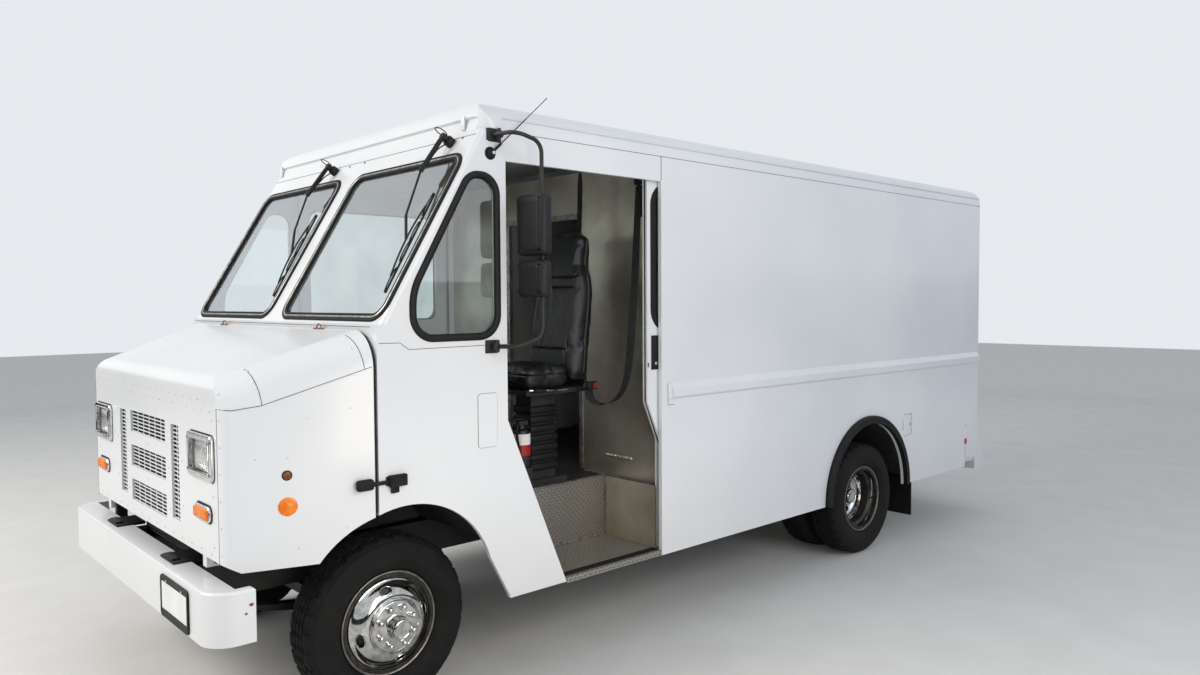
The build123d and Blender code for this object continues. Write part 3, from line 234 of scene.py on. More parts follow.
finishes = {
    "enamel": makeFleetEnamel(),
    "chassisPaint": makeMottled("chassisPaintBlack", "0B0B0C", "232222", 7.0, 0.55, bump=0.3, grain=160.0),
    "castIron": makeMottled("castIronGrey", "2A2827", "4A4643", 12.0, 0.7, metallic=0.4, bump=0.6,
                            grain=240.0),
    "zinc": makeMottled("aluminisedSteel", "6A6660", "8F8C86", 9.0, 0.45, metallic=0.9, bump=0.2),
    "tread": makeTreadPlate(),
    "mill": makeMillAluminium(),
    "rubber": makeMottled("mouldedRubberBlack", "050506", "121213", 20.0, 0.6, bump=0.2, grain=420.0,
                          shine=0.32),
    "tyreRubber": makeMottled("tyreRubberDusty", "060606", "151514", 14.0, 0.78, bump=0.35, grain=500.0,
                              shine=0.3),
    "polished": makePolishedSteel("polishedStainless", "8F8E8C", "CFCFCE", 0.03, 0.14),
    "chrome": makePolishedSteel("chromePlate", "B5B5B5", "E2E2E2", 0.04, 0.12),
    "windshield": makeGlass("laminatedGlass", "DDF1F0", film=1.0),
    "sideGlass": makeGlass("temperedGlassGrey", "9FB0AE"),
    "lens": makeGlass("pressedClearLens", "F4F4EE", roughness=0.05, smear=0.05),
    "amber": makeMottled("acrylicAmber", "E06A0C", "F28A1E", 30.0, 0.22, bump=0.15),
    "red": makeMottled("acrylicRed", "B01018", "CC1B22", 30.0, 0.22, bump=0.15),
    "abs": makeMottled("grainedPlasticBlack", "07080A", "131517", 25.0, 0.5, bump=0.5, grain=900.0,
                       shine=0.34),
    "vinyl": makeMottled("vinylBlack", "08090A", "141718", 10.0, 0.40, bump=0.35, grain=700.0, shine=0.42),
    "floorMat": makeMottled("ribbedFloorMat", "1A1A1A", "343230", 6.0, 0.7, bump=0.4),
    # black sheet; behind the grille's slots it paints the shade inside the hood
    "sheetBlack": makeMottled("grilleSheetBlack", "08080A", "161618", 20.0, 0.5),
    "darkSteel": makeMottled("phosphatedWheelSteel", "2B2A29", "4D4A46", 18.0, 0.45, metallic=0.8, bump=0.2),
    "dullSteel": makeMottled("brakeDustedSteel", "6E6A64", "96928A", 30.0, 0.42, metallic=0.85, bump=0.15),
    "rustedSteel": makeMottled("rustedZincBolt", "5A2F18", "9A6A3C", 60.0, 0.7, metallic=0.4, bump=0.5),
    "trimBright": makeMottled("brightVinylTrim", "7E7C78", "B9B7B2", 40.0, 0.3, metallic=0.85, bump=0.1),
    "plateWhite": makeMottled("plateBlankWhite", "DCDDDE", "E8E9EA", 12.0, 0.35, bump=0.05),
    # rivet heads a little greyer than the enamel: painted shade of the small domes
    "rivetHead": makeMottled("paintedRivet", "B4B2AC", "D8D8D6", 80.0, 0.4, bump=0.1),
    # dark beads for the joints; the same finish paints the shade in screw slots and louvre mouths
    "jointShadow": makeMottled("dirtInJoint", "3A3733", "6A655D", 50.0, 0.8, bump=0.2),
    "webbing": makeMottled("polyesterWebbing", "0B0B0C", "1A1A1B", 30.0, 0.75, bump=0.5, grain=900.0),
    "mirrorGlass": makePolishedSteel("silveredGlass", "A9B3BA", "C6CED3", 0.02, 0.05),
    "extinguisherRed": makeMottled("redEnamel", "8E1210", "B01A16", 20.0, 0.3),
}

nodeFinish = {
    "enamel": ["side_left", "side_right", "roof", "roof_cap", "cab_front", "cab_side_left", "cab_side_right",
               "rear_frame", "front_bumper", "rear_bumper", "hood_shell", "door_left", "door_right",
               "rear_door_left", "rear_door_right", "grille_panel"],
    "chassisPaint": ["chassis_frame", "front_axle", "rear_axle", "fuel_tank", "wheel_boxes", "seat_base",
                     "mirror_arms", "wipers_aerial"],
    "castIron": ["engine_block", "knuckle_left", "knuckle_right"],
    "zinc": ["exhaust"],
    "tread": ["step_wells"],
    "mill": ["bulkhead"],
    "floorMat": ["floor"],
    "rubber": ["cab_gaskets", "arch_flares", "mud_flaps", "latch_catches", "hood_latches",
               "door_left_fittings", "door_right_fittings"],
    "tyreRubber": ["front_left_tyre", "front_right_tyre", "rear_left_tyres", "rear_right_tyres"],
    "polished": ["front_left_rim", "front_right_rim", "rear_left_rims", "rear_right_rims"],
    "chrome": ["headlamp_bezels"],
    "windshield": ["cab_glass"],
    "sideGlass": ["door_left_glass", "door_right_glass", "rear_door_left_glass", "rear_door_right_glass"],
    "lens": ["headlamps"],
    "amber": ["turn_signals"],
    "red": ["body_lamps"],
    "abs": ["dashboard", "mirror_heads"],
    "vinyl": ["driver_seat"],
}
for finish, names in nodeFinish.items():
    for name in names:
        nodes[name].data.materials.clear()
        nodes[name].data.materials.append(finishes[finish])
print("finishes on the frame")


# modelling helpers


def leaveEdit():
    bpy.ops.object.mode_set(mode="OBJECT")


def deselectAll():
    if bpy.context.object and bpy.context.object.mode != "OBJECT":
        leaveEdit()
    bpy.ops.object.select_all(action="DESELECT")


def useOnly(piece):
    deselectAll()
    piece.select_set(True)
    bpy.context.view_layer.objects.active = piece
    return piece


def settle(piece, name):
    piece.name = name
    useOnly(piece)
    bpy.ops.object.transform_apply(location=True, rotation=True, scale=True)
    return piece


def addObject(name, data):
    piece = bpy.data.objects.new(name, data)
    bpy.context.scene.collection.objects.link(piece)
    return useOnly(piece)


def withModifier(piece, kind, **settings):
    useOnly(piece)
    modifier = piece.modifiers.new(kind.lower(), kind)
    for key, value in settings.items():
        setattr(modifier, key, value)
    bpy.ops.object.modifier_apply(modifier=modifier.name)
    return piece


def cleanMesh(piece, nearest):
    # doubles merged first, then all faces turned outwards
    useOnly(piece)
    bpy.ops.object.mode_set(mode="EDIT")
    bpy.ops.mesh.select_all(action="SELECT")
    bpy.ops.mesh.remove_doubles(threshold=nearest)
    bpy.ops.mesh.normals_make_consistent(inside=False)
    leaveEdit()
    return piece


def pickFaces(piece, wanted):
    # leaves the piece in edit mode with the wanted faces selected
    useOnly(piece)
    bpy.ops.object.mode_set(mode="EDIT")
    bpy.ops.mesh.select_mode(type="FACE")
    bpy.ops.mesh.select_all(action="DESELECT")
    shape = bmesh.from_edit_mesh(piece.data)
    for face in shape.faces:
        face.select_set(bool(wanted(face.calc_center_median(), face.normal)))
    bmesh.update_edit_mesh(piece.data)


def insetFaces(piece, wanted, *steps):
    # each step is a width and a rise of the picked faces
    pickFaces(piece, wanted)
    for width, rise in steps:
        bpy.ops.mesh.inset(thickness=width, depth=rise)
    leaveEdit()


def resizeFaces(piece, wanted, shares, centre):
    pickFaces(piece, wanted)
    bpy.ops.transform.resize(value=shares, center_override=centre)
    leaveEdit()


def addBox(name, low, high, bevel=0.0, segments=2):
    deselectAll()
    bpy.ops.mesh.primitive_cube_add(size=1, location=[(low[i] + high[i]) / 2 for i in range(3)])
    piece = bpy.context.object
    piece.scale = [high[i] - low[i] for i in range(3)]
    settle(piece, name)
    return withModifier(piece, "BEVEL", width=bevel, segments=segments) if bevel else piece


def addDrum(name, start, end, radius, sides=32, bevel=0.0):
    start, end = Vector(start), Vector(end)
    deselectAll()
    bpy.ops.mesh.primitive_cone_add(vertices=sides, radius1=radius, radius2=radius,
                                    depth=(end - start).length, location=(start + end) / 2)
    piece = bpy.context.object
    piece.rotation_euler = (end - start).to_track_quat("Z", "Y").to_euler()
    settle(piece, name)
    if bevel:
        withModifier(piece, "BEVEL", width=bevel, segments=3, limit_method="ANGLE", angle_limit=0.6)
    return piece


def addCurve(name, points, kind="POLY", closed=True, dimensions="2D"):
    curve = bpy.data.curves.new(name, "CURVE")
    curve.dimensions = dimensions
    line = curve.splines.new(kind)
    line.points.add(len(points) - 1)
    for knot, place in zip(line.points, points):
        knot.co = (*place, *(0.0,) * (3 - len(place)), 1.0)
    line.use_cyclic_u = closed
    return addObject(name, curve)


def asMesh(piece):
    useOnly(piece)
    bpy.ops.object.convert(target="MESH")
    return bpy.context.object


def addTube(name, points, radius, closed=False, smooth=True, fineness=3, steps=6):
    piece = addCurve(name, points, "NURBS" if smooth else "POLY", closed, "3D")
    curve = piece.data
    curve.bevel_depth = radius
    curve.bevel_resolution = fineness
    curve.resolution_u = steps
    curve.use_fill_caps = True
    if smooth:
        curve.splines[0].order_u = 3
        curve.splines[0].use_endpoint_u = not closed
    return asMesh(piece)


def addRing(name, loop, profile, place):
    # a closed moulding: a flat loop swept with a cross-section, then laid on a panel
    section = addCurve(name + "Section", profile)
    piece = addCurve(name, loop)
    piece.data.fill_mode = "NONE"
    piece.data.bevel_mode = "OBJECT"
    piece.data.bevel_object = section
    piece = cleanMesh(asMesh(piece), 0.00001)
    bpy.data.objects.remove(section)
    piece.data.transform(place)
    return piece


def addSlab(name, loop, thickness, edge, place):
    # a flat outline thickened and rounded all round
    piece = addCurve(name, loop)
    curve = piece.data
    curve.fill_mode = "BOTH"
    curve.extrude = thickness / 2 - edge
    curve.bevel_depth = edge
    curve.bevel_resolution = 4
    curve.offset = -edge
    piece = cleanMesh(asMesh(piece), 0.00002)
    piece.data.transform(place)
    return piece


def spinProfile(name, profile, steps, closed=False):
    # a profile of (across, radius) points turned once about the X axis
    count = len(profile)
    edges = [(i, (i + 1) % count) for i in range(count if closed else count - 1)]
    mesh = bpy.data.meshes.new(name)
    mesh.from_pydata([(across, 0, radius) for across, radius in profile], edges, [])
    piece = addObject(name, mesh)
    bpy.ops.object.mode_set(mode="EDIT")
    bpy.ops.mesh.select_all(action="SELECT")
    bpy.ops.mesh.spin(steps=steps, angle=2 * math.pi, center=(0, 0, 0), axis=(1, 0, 0))
    return cleanMesh(piece, 0.00002)


def copyAt(piece, name, move):
    twin = piece.copy()
    twin.data = piece.data.copy()
    twin.name = name
    bpy.context.scene.collection.objects.link(twin)
    twin.data.transform(move)
    if move.determinant() < 0:
        twin.data.flip_normals()
    return twin


def otherSide(piece, name):
    return copyAt(piece, name, Matrix.Scale(-1, 4, (1, 0, 0)))


def withOtherSide(parts):
    return parts + [otherSide(part, part.name + "Far") for part in parts]


def joinAll(name, pieces):
    deselectAll()
    for piece in pieces:
        piece.select_set(True)
    bpy.context.view_layer.objects.active = pieces[0]
    if len(pieces) > 1:
        bpy.ops.object.join()
    pieces[0].name = name
    return pieces[0]


def paint(piece, finish):
    piece.data.materials.clear()
    piece.data.materials.append(finishes[finish])
    return piece


def paintAll(*pairs):
    return [paint(piece, finish) for piece, finish in pairs]


def spot(x, d, z):
    return (x, atD(d), z)


def placeBox(name, low, high, bevel=0.0, segments=2, side=1):
    # a box between two (x, d, z) corners, or its mirror image
    near, far = sorted((side * low[0], side * high[0]))
    return addBox(name, spot(near, *low[1:]), spot(far, *high[1:]), bevel, segments)


def crossSection(half):
    # a moulding's section, drawn for one edge and mirrored
    return half + [(-across, up) for across, up in reversed(half)]


def fit(piece, body, finish=None, smooth=35, replaces=()):
    # last step of every piece: finish, shading, the body it rides on and the node it stands for
    if finish:
        paint(piece, finish)
    useOnly(piece)
    bpy.ops.object.shade_smooth_by_angle(angle=math.radians(smooth))
    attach(piece, body)
    if replaces:
        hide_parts(*replaces)
    return piece


def fitPair(piece, farName, bodies, finish=None, replaces=((), ())):
    # a piece and its mirror image, for the driver's side and the far side
    fit(otherSide(piece, farName), bodies[1], finish, replaces=replaces[1])
    fit(piece, bodies[0], finish, replaces=replaces[0])


def aroundCircle(count):
    return [2 * math.pi * k / count for k in range(count)]


def roundedLoop(corners, radii, steps=6):
    loop = []
    for i, corner in enumerate(corners):
        radius = radii[i] if isinstance(radii, list) else radii
        here = Vector(corner)
        before = (Vector(corners[i - 1]) - here).normalized()
        after = (Vector(corners[(i + 1) % len(corners)]) - here).normalized()
        half = before.angle(after) / 2
        centre = here + (before + after).normalized() * (radius / math.sin(half))
        start = here + before * (radius / math.tan(half)) - centre
        end = here + after * (radius / math.tan(half)) - centre
        low = math.atan2(start.y, start.x)
        turn = (math.atan2(end.y, end.x) - low + math.pi) % (2 * math.pi) - math.pi
        for k in range(steps + 1):
            angle = low + turn * k / steps
            loop.append((centre.x + radius * math.cos(angle), centre.y + radius * math.sin(angle)))
    return loop


def boxLoop(low, high, radius, steps=6):
    return roundedLoop([(low[0], low[1]), (high[0], low[1]), (high[0], high[1]), (low[0], high[1])], radius,
                       steps)


def loopAround(x, z, halfWide, halfHigh, radius, steps=6):
    return boxLoop((x - halfWide, z - halfHigh), (x + halfWide, z + halfHigh), radius, steps)


slope = {"foot": -0.130, "z": 1.640, "rake": 0.59}
slopeAngle = math.atan(slope["rake"])
slopeUp = Vector((0, math.sin(slopeAngle), math.cos(slopeAngle)))
slopeOut = Vector((0, -math.cos(slopeAngle), math.sin(slopeAngle)))
flankOut = Vector((0.951, -0.310, 0))


def onSlope(x, z, proud=0.0):
    along = atD(slope["foot"] + (z - slope["z"]) * slope["rake"])
    return Vector((x, along, z)) + slopeOut * proud


def facePlace(origin, right, up, out):
    # matrix that lays a flat drawing on a panel
    return Matrix.Translation(origin) @ Matrix((right, up, out)).transposed().to_4x4()


def facingFront(y):
    return facePlace((0, y, 0), (1, 0, 0), (0, 0, 1), (0, -1, 0))


def facingRear(y):
    return facePlace((0, y, 0), (-1, 0, 0), (0, 0, 1), (0, 1, 0))


def facingLeft(x, d=0.0):
    return facePlace((x, atD(d), 0), (0, 1, 0), (0, 0, 1), (1, 0, 0))


def domeRow(name, places, out, radius=0.0055):
    # pop rivet heads: one squashed dome, copied to every place
    deselectAll()
    bpy.ops.mesh.primitive_uv_sphere_add(segments=10, ring_count=6, radius=radius)
    dome = bpy.context.object
    dome.scale = (1, 1, 0.5)
    settle(dome, name + "Blank")
    turn = Vector(out).to_track_quat("Z", "Y").to_matrix().to_4x4()
    heads = [copyAt(dome, name + "Head", Matrix.Translation(place) @ turn) for place in places]
    bpy.data.objects.remove(dome)
    return joinAll(name, heads)


def seam(name, points, radius=0.0016, closed=False):
    # a sealed sheet joint, drawn as a fine dark bead that stands a little out of the panel
    return addTube(name, points, radius, closed=closed, smooth=False, fineness=1)


# stage, light and camera


def makeStage():
    look = {"across": 60.0, "dark": "D4D3D0", "light": "DAD9D6"}
    deselectAll()
    bpy.ops.mesh.primitive_plane_add(size=look["across"], location=(0, 0, 0))
    floor = bpy.context.object
    floor.name = "studioFloor"
    material, tree, shader, place = newMaterial("studioFloorPale")
    tone = twoTone(tree, place, {"Scale": 3.0, "Detail": 3.0}, (0.3, look["dark"]), (0.7, look["light"]))[1]
    setInputs(tree, shader, {"Roughness": 0.9}, {"Base Color": tone})
    floor.data.materials.append(material)


def makeHorizonCard():
    # a low dark ring far outside the view, which only mirrors and gloss see: it gives chrome its dark horizon
    look = {"radius": 13.0, "low": 0.02, "high": 2.1, "dark": "2A2C2E", "light": "4A4C4E"}
    deselectAll()
    bpy.ops.mesh.primitive_cylinder_add(vertices=64, radius=look["radius"], depth=look["high"] - look["low"],
                                        end_fill_type="NOTHING",
                                        location=(0, 0, (look["high"] + look["low"]) / 2))
    card = bpy.context.object
    card.name = "horizonCard"
    material, tree, shader, place = newMaterial("horizonCardDark")
    tone = twoTone(tree, place, {"Scale": 0.4, "Detail": 3.0}, (0.4, look["dark"]), (0.6, look["light"]))[1]
    setInputs(tree, shader, {"Roughness": 0.9}, {"Base Color": tone})
    card.data.materials.append(material)
    card.visible_camera = card.visible_diffuse = card.visible_transmission = card.visible_shadow = False


def makeWorld():
    # a pale studio: a little brighter where it is seen, mirrored or looked at through glass than as a light
    look = {"seen": "EEF2F6", "light": "E4EBF3", "seenStrength": 0.93, "lightStrength": 0.66}
    world = bpy.data.worlds.new("softStudio")
    bpy.context.scene.world = world
    world.use_nodes = True
    tree = world.node_tree
    lit = tree.nodes["Background"]
    setInputs(tree, lit, {"Color": hexColour(look["light"]), "Strength": look["lightStrength"]})
    seen = addNode(tree, "Background", values={"Color": hexColour(look["seen"]),
                                               "Strength": look["seenStrength"]})
    path = addNode(tree, "LightPath").outputs
    eyes = path["Is Camera Ray"]
    for other in ("Is Glossy Ray", "Is Transmission Ray"):
        either = addNode(tree, "Math", props={"operation": "MAXIMUM"}, links={0: eyes, 1: path[other]})
        eyes = either.outputs["Value"]
    blend = addNode(tree, "MixShader", links={0: eyes, 1: lit.outputs["Background"],
                                              2: seen.outputs["Background"]})
    setInputs(tree, tree.nodes["World Output"], links={"Surface": blend.outputs["Shader"]})


def addLamp(name, place, aim, size, watts, colour):
    lamp = bpy.data.lights.new(name, "AREA")
    lamp.shape = "RECTANGLE"
    lamp.size, lamp.size_y = size
    lamp.energy = watts
    lamp.color = hexColour(colour)[:3]
    holder = addObject(name, lamp)
    holder.location = place
    holder.rotation_euler = (Vector(aim) - Vector(place)).to_track_quat("-Z", "Y").to_euler()


def makeCamera():
    view = {"place": (4.129, -4.123, 1.728), "yaw": 47.141, "pitch": -2.407, "roll": -0.318, "lens": 26.268}
    camera = bpy.data.cameras.new("photoCamera")
    camera.sensor_width = 36.0
    camera.lens = view["lens"]
    camera.clip_start = 0.05
    camera.clip_end = 200.0
    holder = addObject("photoCamera", camera)
    turn = (Matrix.Rotation(math.radians(view["yaw"]), 4, "Z")
            @ Matrix.Rotation(math.radians(90 + view["pitch"]), 4, "X")
            @ Matrix.Rotation(math.radians(view["roll"]), 4, "Z"))
    holder.rotation_euler = turn.to_euler()
    holder.location = view["place"]
    bpy.context.scene.camera = holder


makeStage()
makeHorizonCard()
makeWorld()
addLamp("keyLamp", (-3.0, -9.0, 6.0), (0, -2.0, 1.2), (5.0, 4.0), 640, "FFF8EE")
addLamp("sideLamp", (9.0, -1.0, 5.0), (0.5, 0.0, 1.0), (6.0, 4.0), 230, "F2F6FF")
addLamp("cabFill", (3.4, -2.6, 1.5), (0.2, -0.6, 1.1), (0.9, 1.6), 26, "FFF1DC")
makeCamera()
bpy.context.scene.view_settings.view_transform = "Standard"
print("stage, light and camera")


# tyres


def makeTyre():
    look = {"steps": 90, "notchEvery": 3, "notch": 0.0055, "notchEdge": 0.003, "sipe": 0.004,
            "sipeEdge": 0.006}
    half = [
        (0.0, 0.3720), (0.0115, 0.3720), (0.0125, 0.3645), (0.0195, 0.3645), (0.0205, 0.3718),
        (0.0375, 0.3714), (0.0385, 0.3640), (0.0455, 0.3640), (0.0465, 0.3709), (0.0680, 0.3696),
        (0.0800, 0.3655), (0.0885, 0.3575), (0.0960, 0.3450), (0.0990, 0.3435), (0.1035, 0.3330),
        (0.1075, 0.3200), (0.1100, 0.3060), (0.1114, 0.2940), (0.1115, 0.2830), (0.1104, 0.2720),
        (0.1110, 0.2700), (0.1096, 0.2650), (0.1082, 0.2640), (0.1040, 0.2530), (0.0985, 0.2440),
        (0.0930, 0.2380), (0.0860, 0.2300), (0.0800, 0.2250), (0.0755, 0.2235), (0.0742, 0.2210),
        (0.0742, 0.2034),
    ]
    profile = [(-across, radius) for across, radius in reversed(half[1:])] + half
    tyre = spinProfile("tyreBlank", profile, look["steps"], closed=True)

    def stepOf(centre):
        return int((math.atan2(centre.y, centre.z) % (2 * math.pi)) / (2 * math.pi / look["steps"]))

    def shoulderLug(centre, normal):
        side = 0 if centre.x > 0 else 1
        outside = math.hypot(centre.y, centre.z) > 0.352 and abs(centre.x) > 0.05
        return outside and (stepOf(centre) + side) % look["notchEvery"] == 0

    def middleSipe(centre, normal):
        inside = math.hypot(centre.y, centre.z) > 0.366 and abs(centre.x) < 0.036
        return inside and stepOf(centre) % 2 == 0 and abs(normal.x) < 0.5

    pickFaces(tyre, shoulderLug)
    bpy.ops.mesh.inset(thickness=look["notchEdge"], depth=-look["notch"], use_individual=False)
    pickFaces(tyre, middleSipe)
    bpy.ops.mesh.inset(thickness=look["sipeEdge"], depth=-look["sipe"], use_individual=True)
    leaveEdit()
    return tyre


wheelPlaces = {"frontX": 0.765, "outerX": 0.918, "innerX": 0.656}
frontBodies = ("front_wheel_left", "front_wheel_right")
rearBodies = ("rear_wheels_left", "rear_wheels_right")


def wheelMove(x, d):
    return Matrix.Translation((x, atD(d), van["hubZ"]))


frontMove = wheelMove(wheelPlaces["frontX"], 0)
outerMove = wheelMove(wheelPlaces["outerX"], van["wheelbase"])
innerMove = wheelMove(wheelPlaces["innerX"], van["wheelbase"])
tyreBlank = makeTyre()
frontTyre = copyAt(tyreBlank, "frontTyreLeft", frontMove)
rearTyres = joinAll("rearTyresLeft", [copyAt(tyreBlank, "outerTyre", outerMove),
                                      copyAt(tyreBlank, "innerTyre", innerMove)])
bpy.data.objects.remove(tyreBlank)
fitPair(frontTyre, "frontTyreRight", frontBodies, "tyreRubber",
        replaces=(["front_left_tyre"], ["front_right_tyre"]))
fitPair(rearTyres, "rearTyresRight", rearBodies, "tyreRubber",
        replaces=(["rear_left_tyres"], ["rear_right_tyres"]))
print("tyres")


# wheels


def ringOf(piece, name, count, radius, across, turn=0.0):
    # copies round the axle, each turned to face its own spoke
    copies = []
    for angle in aroundCircle(count):
        spoke = Matrix.Rotation(turn + angle, 4, "X") @ Matrix.Translation((across, 0, radius))
        copies.append(paint(copyAt(piece, name, spoke), "polished"))
    bpy.data.objects.remove(piece)
    return copies


def cutHandHoles(dish, look):
    # four oval hand holes through a dish
    cutters = []
    for angle in aroundCircle(4):
        drum = addDrum("holeCutter", (-0.2, 0, 0), (0.25, 0, 0), 1.0, sides=28)
        drum.data.transform(Matrix.Diagonal((1, look["holeTangent"], look["holeSlant"], 1)))
        turn = Matrix.Rotation(math.radians(look["holeTurn"]) + angle, 4, "X")
        drum.data.transform(turn @ Matrix.Translation((0, 0, look["holeRadius"])))
        cutters.append(drum)
    cutter = joinAll("holeCutters", cutters)
    withModifier(dish, "BOOLEAN", object=cutter, operation="DIFFERENCE", solver="EXACT")
    bpy.data.objects.remove(cutter)


def makeDish(name, profile, look):
    # a pressed, polished dish with hand holes; the steel flange outside it stays dull
    dish = spinProfile(name, profile, 96)
    withModifier(dish, "SOLIDIFY", thickness=look["sheet"], offset=-1.0)
    cutHandHoles(dish, look)
    paint(dish, "polished")
    dish.data.materials.append(finishes["dullSteel"])
    pickFaces(dish, lambda centre, normal: math.hypot(centre.y, centre.z) > look["polishedTo"])
    dish.active_material_index = 1
    bpy.ops.object.material_slot_assign()
    leaveEdit()
    return dish


def makeNut(name, height, radius):
    profile = [(0, radius * 1.25), (0.004, radius * 1.25), (0.006, radius), (height * 0.7, radius),
               (height * 0.86, radius * 0.86), (height * 0.96, radius * 0.5), (height, 0.0)]
    return spinProfile(name, profile, 14)


def addBarrel(name):
    # rolled rim of the steel wheel, a closed ring
    outer = [(-0.080, 0.221), (-0.075, 0.221), (-0.073, 0.2045), (-0.040, 0.2028), (-0.025, 0.181),
             (0.025, 0.181), (0.040, 0.2028), (0.073, 0.2045), (0.075, 0.221), (0.080, 0.221)]
    inner = [(0.080, 0.196), (0.042, 0.195), (0.027, 0.174), (-0.027, 0.174), (-0.042, 0.195),
             (-0.080, 0.196)]
    return paint(spinProfile(name, outer + inner, 64, closed=True), "darkSteel")


def addHoleLip():
    # rolled edge of one hand hole, lying on the dish's slope
    look = {"centre": (0.1090, 0.0, 0.1520), "lean": (0.0100, 0.0, -0.0120), "half": 0.0275,
            "halfDown": 0.0205}
    lean = Vector(look["lean"]).normalized()
    points = []
    for angle in aroundCircle(24):
        across = Vector((0, look["half"] * math.cos(angle), 0))
        points.append(Vector(look["centre"]) + across + lean * (look["halfDown"] * math.sin(angle)))
    return addTube("holeLip", points, 0.0022, closed=True, smooth=True, fineness=2, steps=2)


def makeFrontWheel():
    look = {"holeRadius": 0.1525, "holeTangent": 0.027, "holeSlant": 0.0135, "holeTurn": 12, "sheet": 0.002,
            "polishedTo": 0.1870, "studRadius": 0.0826, "nutFoot": 0.132}
    liner = makeDish("frontLiner", [
        (0.0805, 0.2205), (0.0840, 0.2195), (0.0850, 0.2165), (0.0830, 0.2130), (0.0740, 0.2090),
        (0.0660, 0.2020), (0.0640, 0.1950), (0.0660, 0.1900), (0.0720, 0.1875), (0.0765, 0.1860),
        (0.0780, 0.1830), (0.0800, 0.1790), (0.0900, 0.1710), (0.1010, 0.1610), (0.1110, 0.1490),
        (0.1180, 0.1360), (0.1215, 0.1250), (0.1220, 0.1190), (0.1190, 0.1165), (0.1190, 0.1150),
        (0.1255, 0.1135), (0.1275, 0.1110), (0.1255, 0.1085), (0.1290, 0.1065), (0.1320, 0.1035),
        (0.1330, 0.0990), (0.1330, 0.0560), (0.1345, 0.0500), (0.1390, 0.0450), (0.1640, 0.0425),
        (0.1830, 0.0415), (0.1880, 0.0395), (0.1900, 0.0360), (0.1890, 0.0330), (0.1870, 0.0310),
        (0.1865, 0.0),
    ], look)
    nut = makeNut("linerNut", 0.028, 0.0115)
    parts = [liner] + ringOf(nut, "linerNut", 8, look["studRadius"], look["nutFoot"], math.radians(22.5))
    parts += ringOf(addHoleLip(), "holeLip", 4, 0.0, 0.0, math.radians(look["holeTurn"]))
    parts.append(addBarrel("frontBarrel"))
    disc = spinProfile("frontDisc", [
        (0.046, 0.196), (0.078, 0.172), (0.094, 0.150), (0.108, 0.120), (0.112, 0.045), (0.102, 0.045),
        (0.098, 0.118), (0.084, 0.146), (0.068, 0.166), (0.036, 0.190)], 48, closed=True)
    hub = spinProfile("frontHub", [
        (-0.055, 0.029), (-0.055, 0.062), (0.108, 0.062), (0.108, 0.034), (0.104, 0.029)], 32, closed=True)
    wheel = joinAll("frontWheelLeft", parts + paintAll((disc, "darkSteel"), (hub, "darkSteel")))
    wheel.data.transform(frontMove)
    return wheel


def makeRearWheels():
    look = {"holeRadius": 0.1400, "holeTangent": 0.025, "holeSlant": 0.0140, "holeTurn": 35, "sheet": 0.002,
            "polishedTo": 0.2000, "studRadius": 0.0826, "nutFoot": -0.101}
    liner = makeDish("rearLiner", [
        (0.0805, 0.2205), (0.0840, 0.2195), (0.0850, 0.2165), (0.0835, 0.2120), (0.0760, 0.2080),
        (0.0700, 0.2010), (0.0600, 0.1960), (0.0450, 0.1930), (0.0300, 0.1880), (0.0050, 0.1830),
        (-0.0300, 0.1790), (-0.0560, 0.1740), (-0.0700, 0.1670), (-0.0790, 0.1560), (-0.0850, 0.1420),
        (-0.0900, 0.1280), (-0.0930, 0.1170), (-0.0900, 0.1130), (-0.0900, 0.1100), (-0.0960, 0.1070),
        (-0.1000, 0.1020), (-0.1010, 0.0680), (-0.0990, 0.0630), (-0.0940, 0.0600), (-0.0500, 0.0570),
        (-0.0200, 0.0545), (-0.0020, 0.0520), (0.0060, 0.0470), (0.0080, 0.0420), (0.0060, 0.0380),
        (0.0050, 0.0340), (0.0050, 0.0),
    ], look)
    nut = makeNut("rearNut", 0.030, 0.0115)
    outer = [liner] + ringOf(nut, "rearNut", 8, look["studRadius"], look["nutFoot"], math.radians(22.5))
    outer.append(addBarrel("rearOuterBarrel"))
    inner = [addBarrel("rearInnerBarrel")]
    disc = spinProfile("rearDiscs", [
        (-0.140, 0.045), (-0.140, 0.150), (-0.100, 0.185), (-0.090, 0.185), (-0.126, 0.150), (-0.126, 0.045)],
        48, closed=True)
    innerDisc = spinProfile("innerDisc", [
        (0.130, 0.063), (0.130, 0.150), (0.060, 0.185), (0.050, 0.185), (0.116, 0.150), (0.116, 0.063)],
        48, closed=True)
    drum = spinProfile("rearDrum", [
        (-0.075, 0.065), (-0.075, 0.168), (0.045, 0.168), (0.060, 0.160), (0.060, 0.065)], 48, closed=True)
    outer += paintAll((disc, "darkSteel"))
    inner += paintAll((innerDisc, "darkSteel"), (drum, "castIron"))
    for parts, move in ((outer, outerMove), (inner, innerMove)):
        for part in parts:
            part.data.transform(move)
    return joinAll("rearWheelsLeft", outer + inner)


fitPair(makeFrontWheel(), "frontWheelRight", frontBodies,
        replaces=(["front_left_rim"], ["front_right_rim"]))
fitPair(makeRearWheels(), "rearWheelsRight", rearBodies,
        replaces=(["rear_left_rims"], ["rear_right_rims"]))
print("wheels")


# rubber glazing sections


def grownCorners(corners, by):
    # outline moved outwards, corner by corner, for a counter-clockwise loop
    grown = []
    for i, corner in enumerate(corners):
        here = Vector(corner)
        into = (here - Vector(corners[i - 1])).normalized()
        away = (Vector(corners[(i + 1) % len(corners)]) - here).normalized()
        normals = [Vector((into.y, -into.x)), Vector((away.y, -away.x))]
        middle = (normals[0] + normals[1]).normalized()
        grown.append(tuple(here + middle * (by / middle.dot(normals[0]))))
    return grown


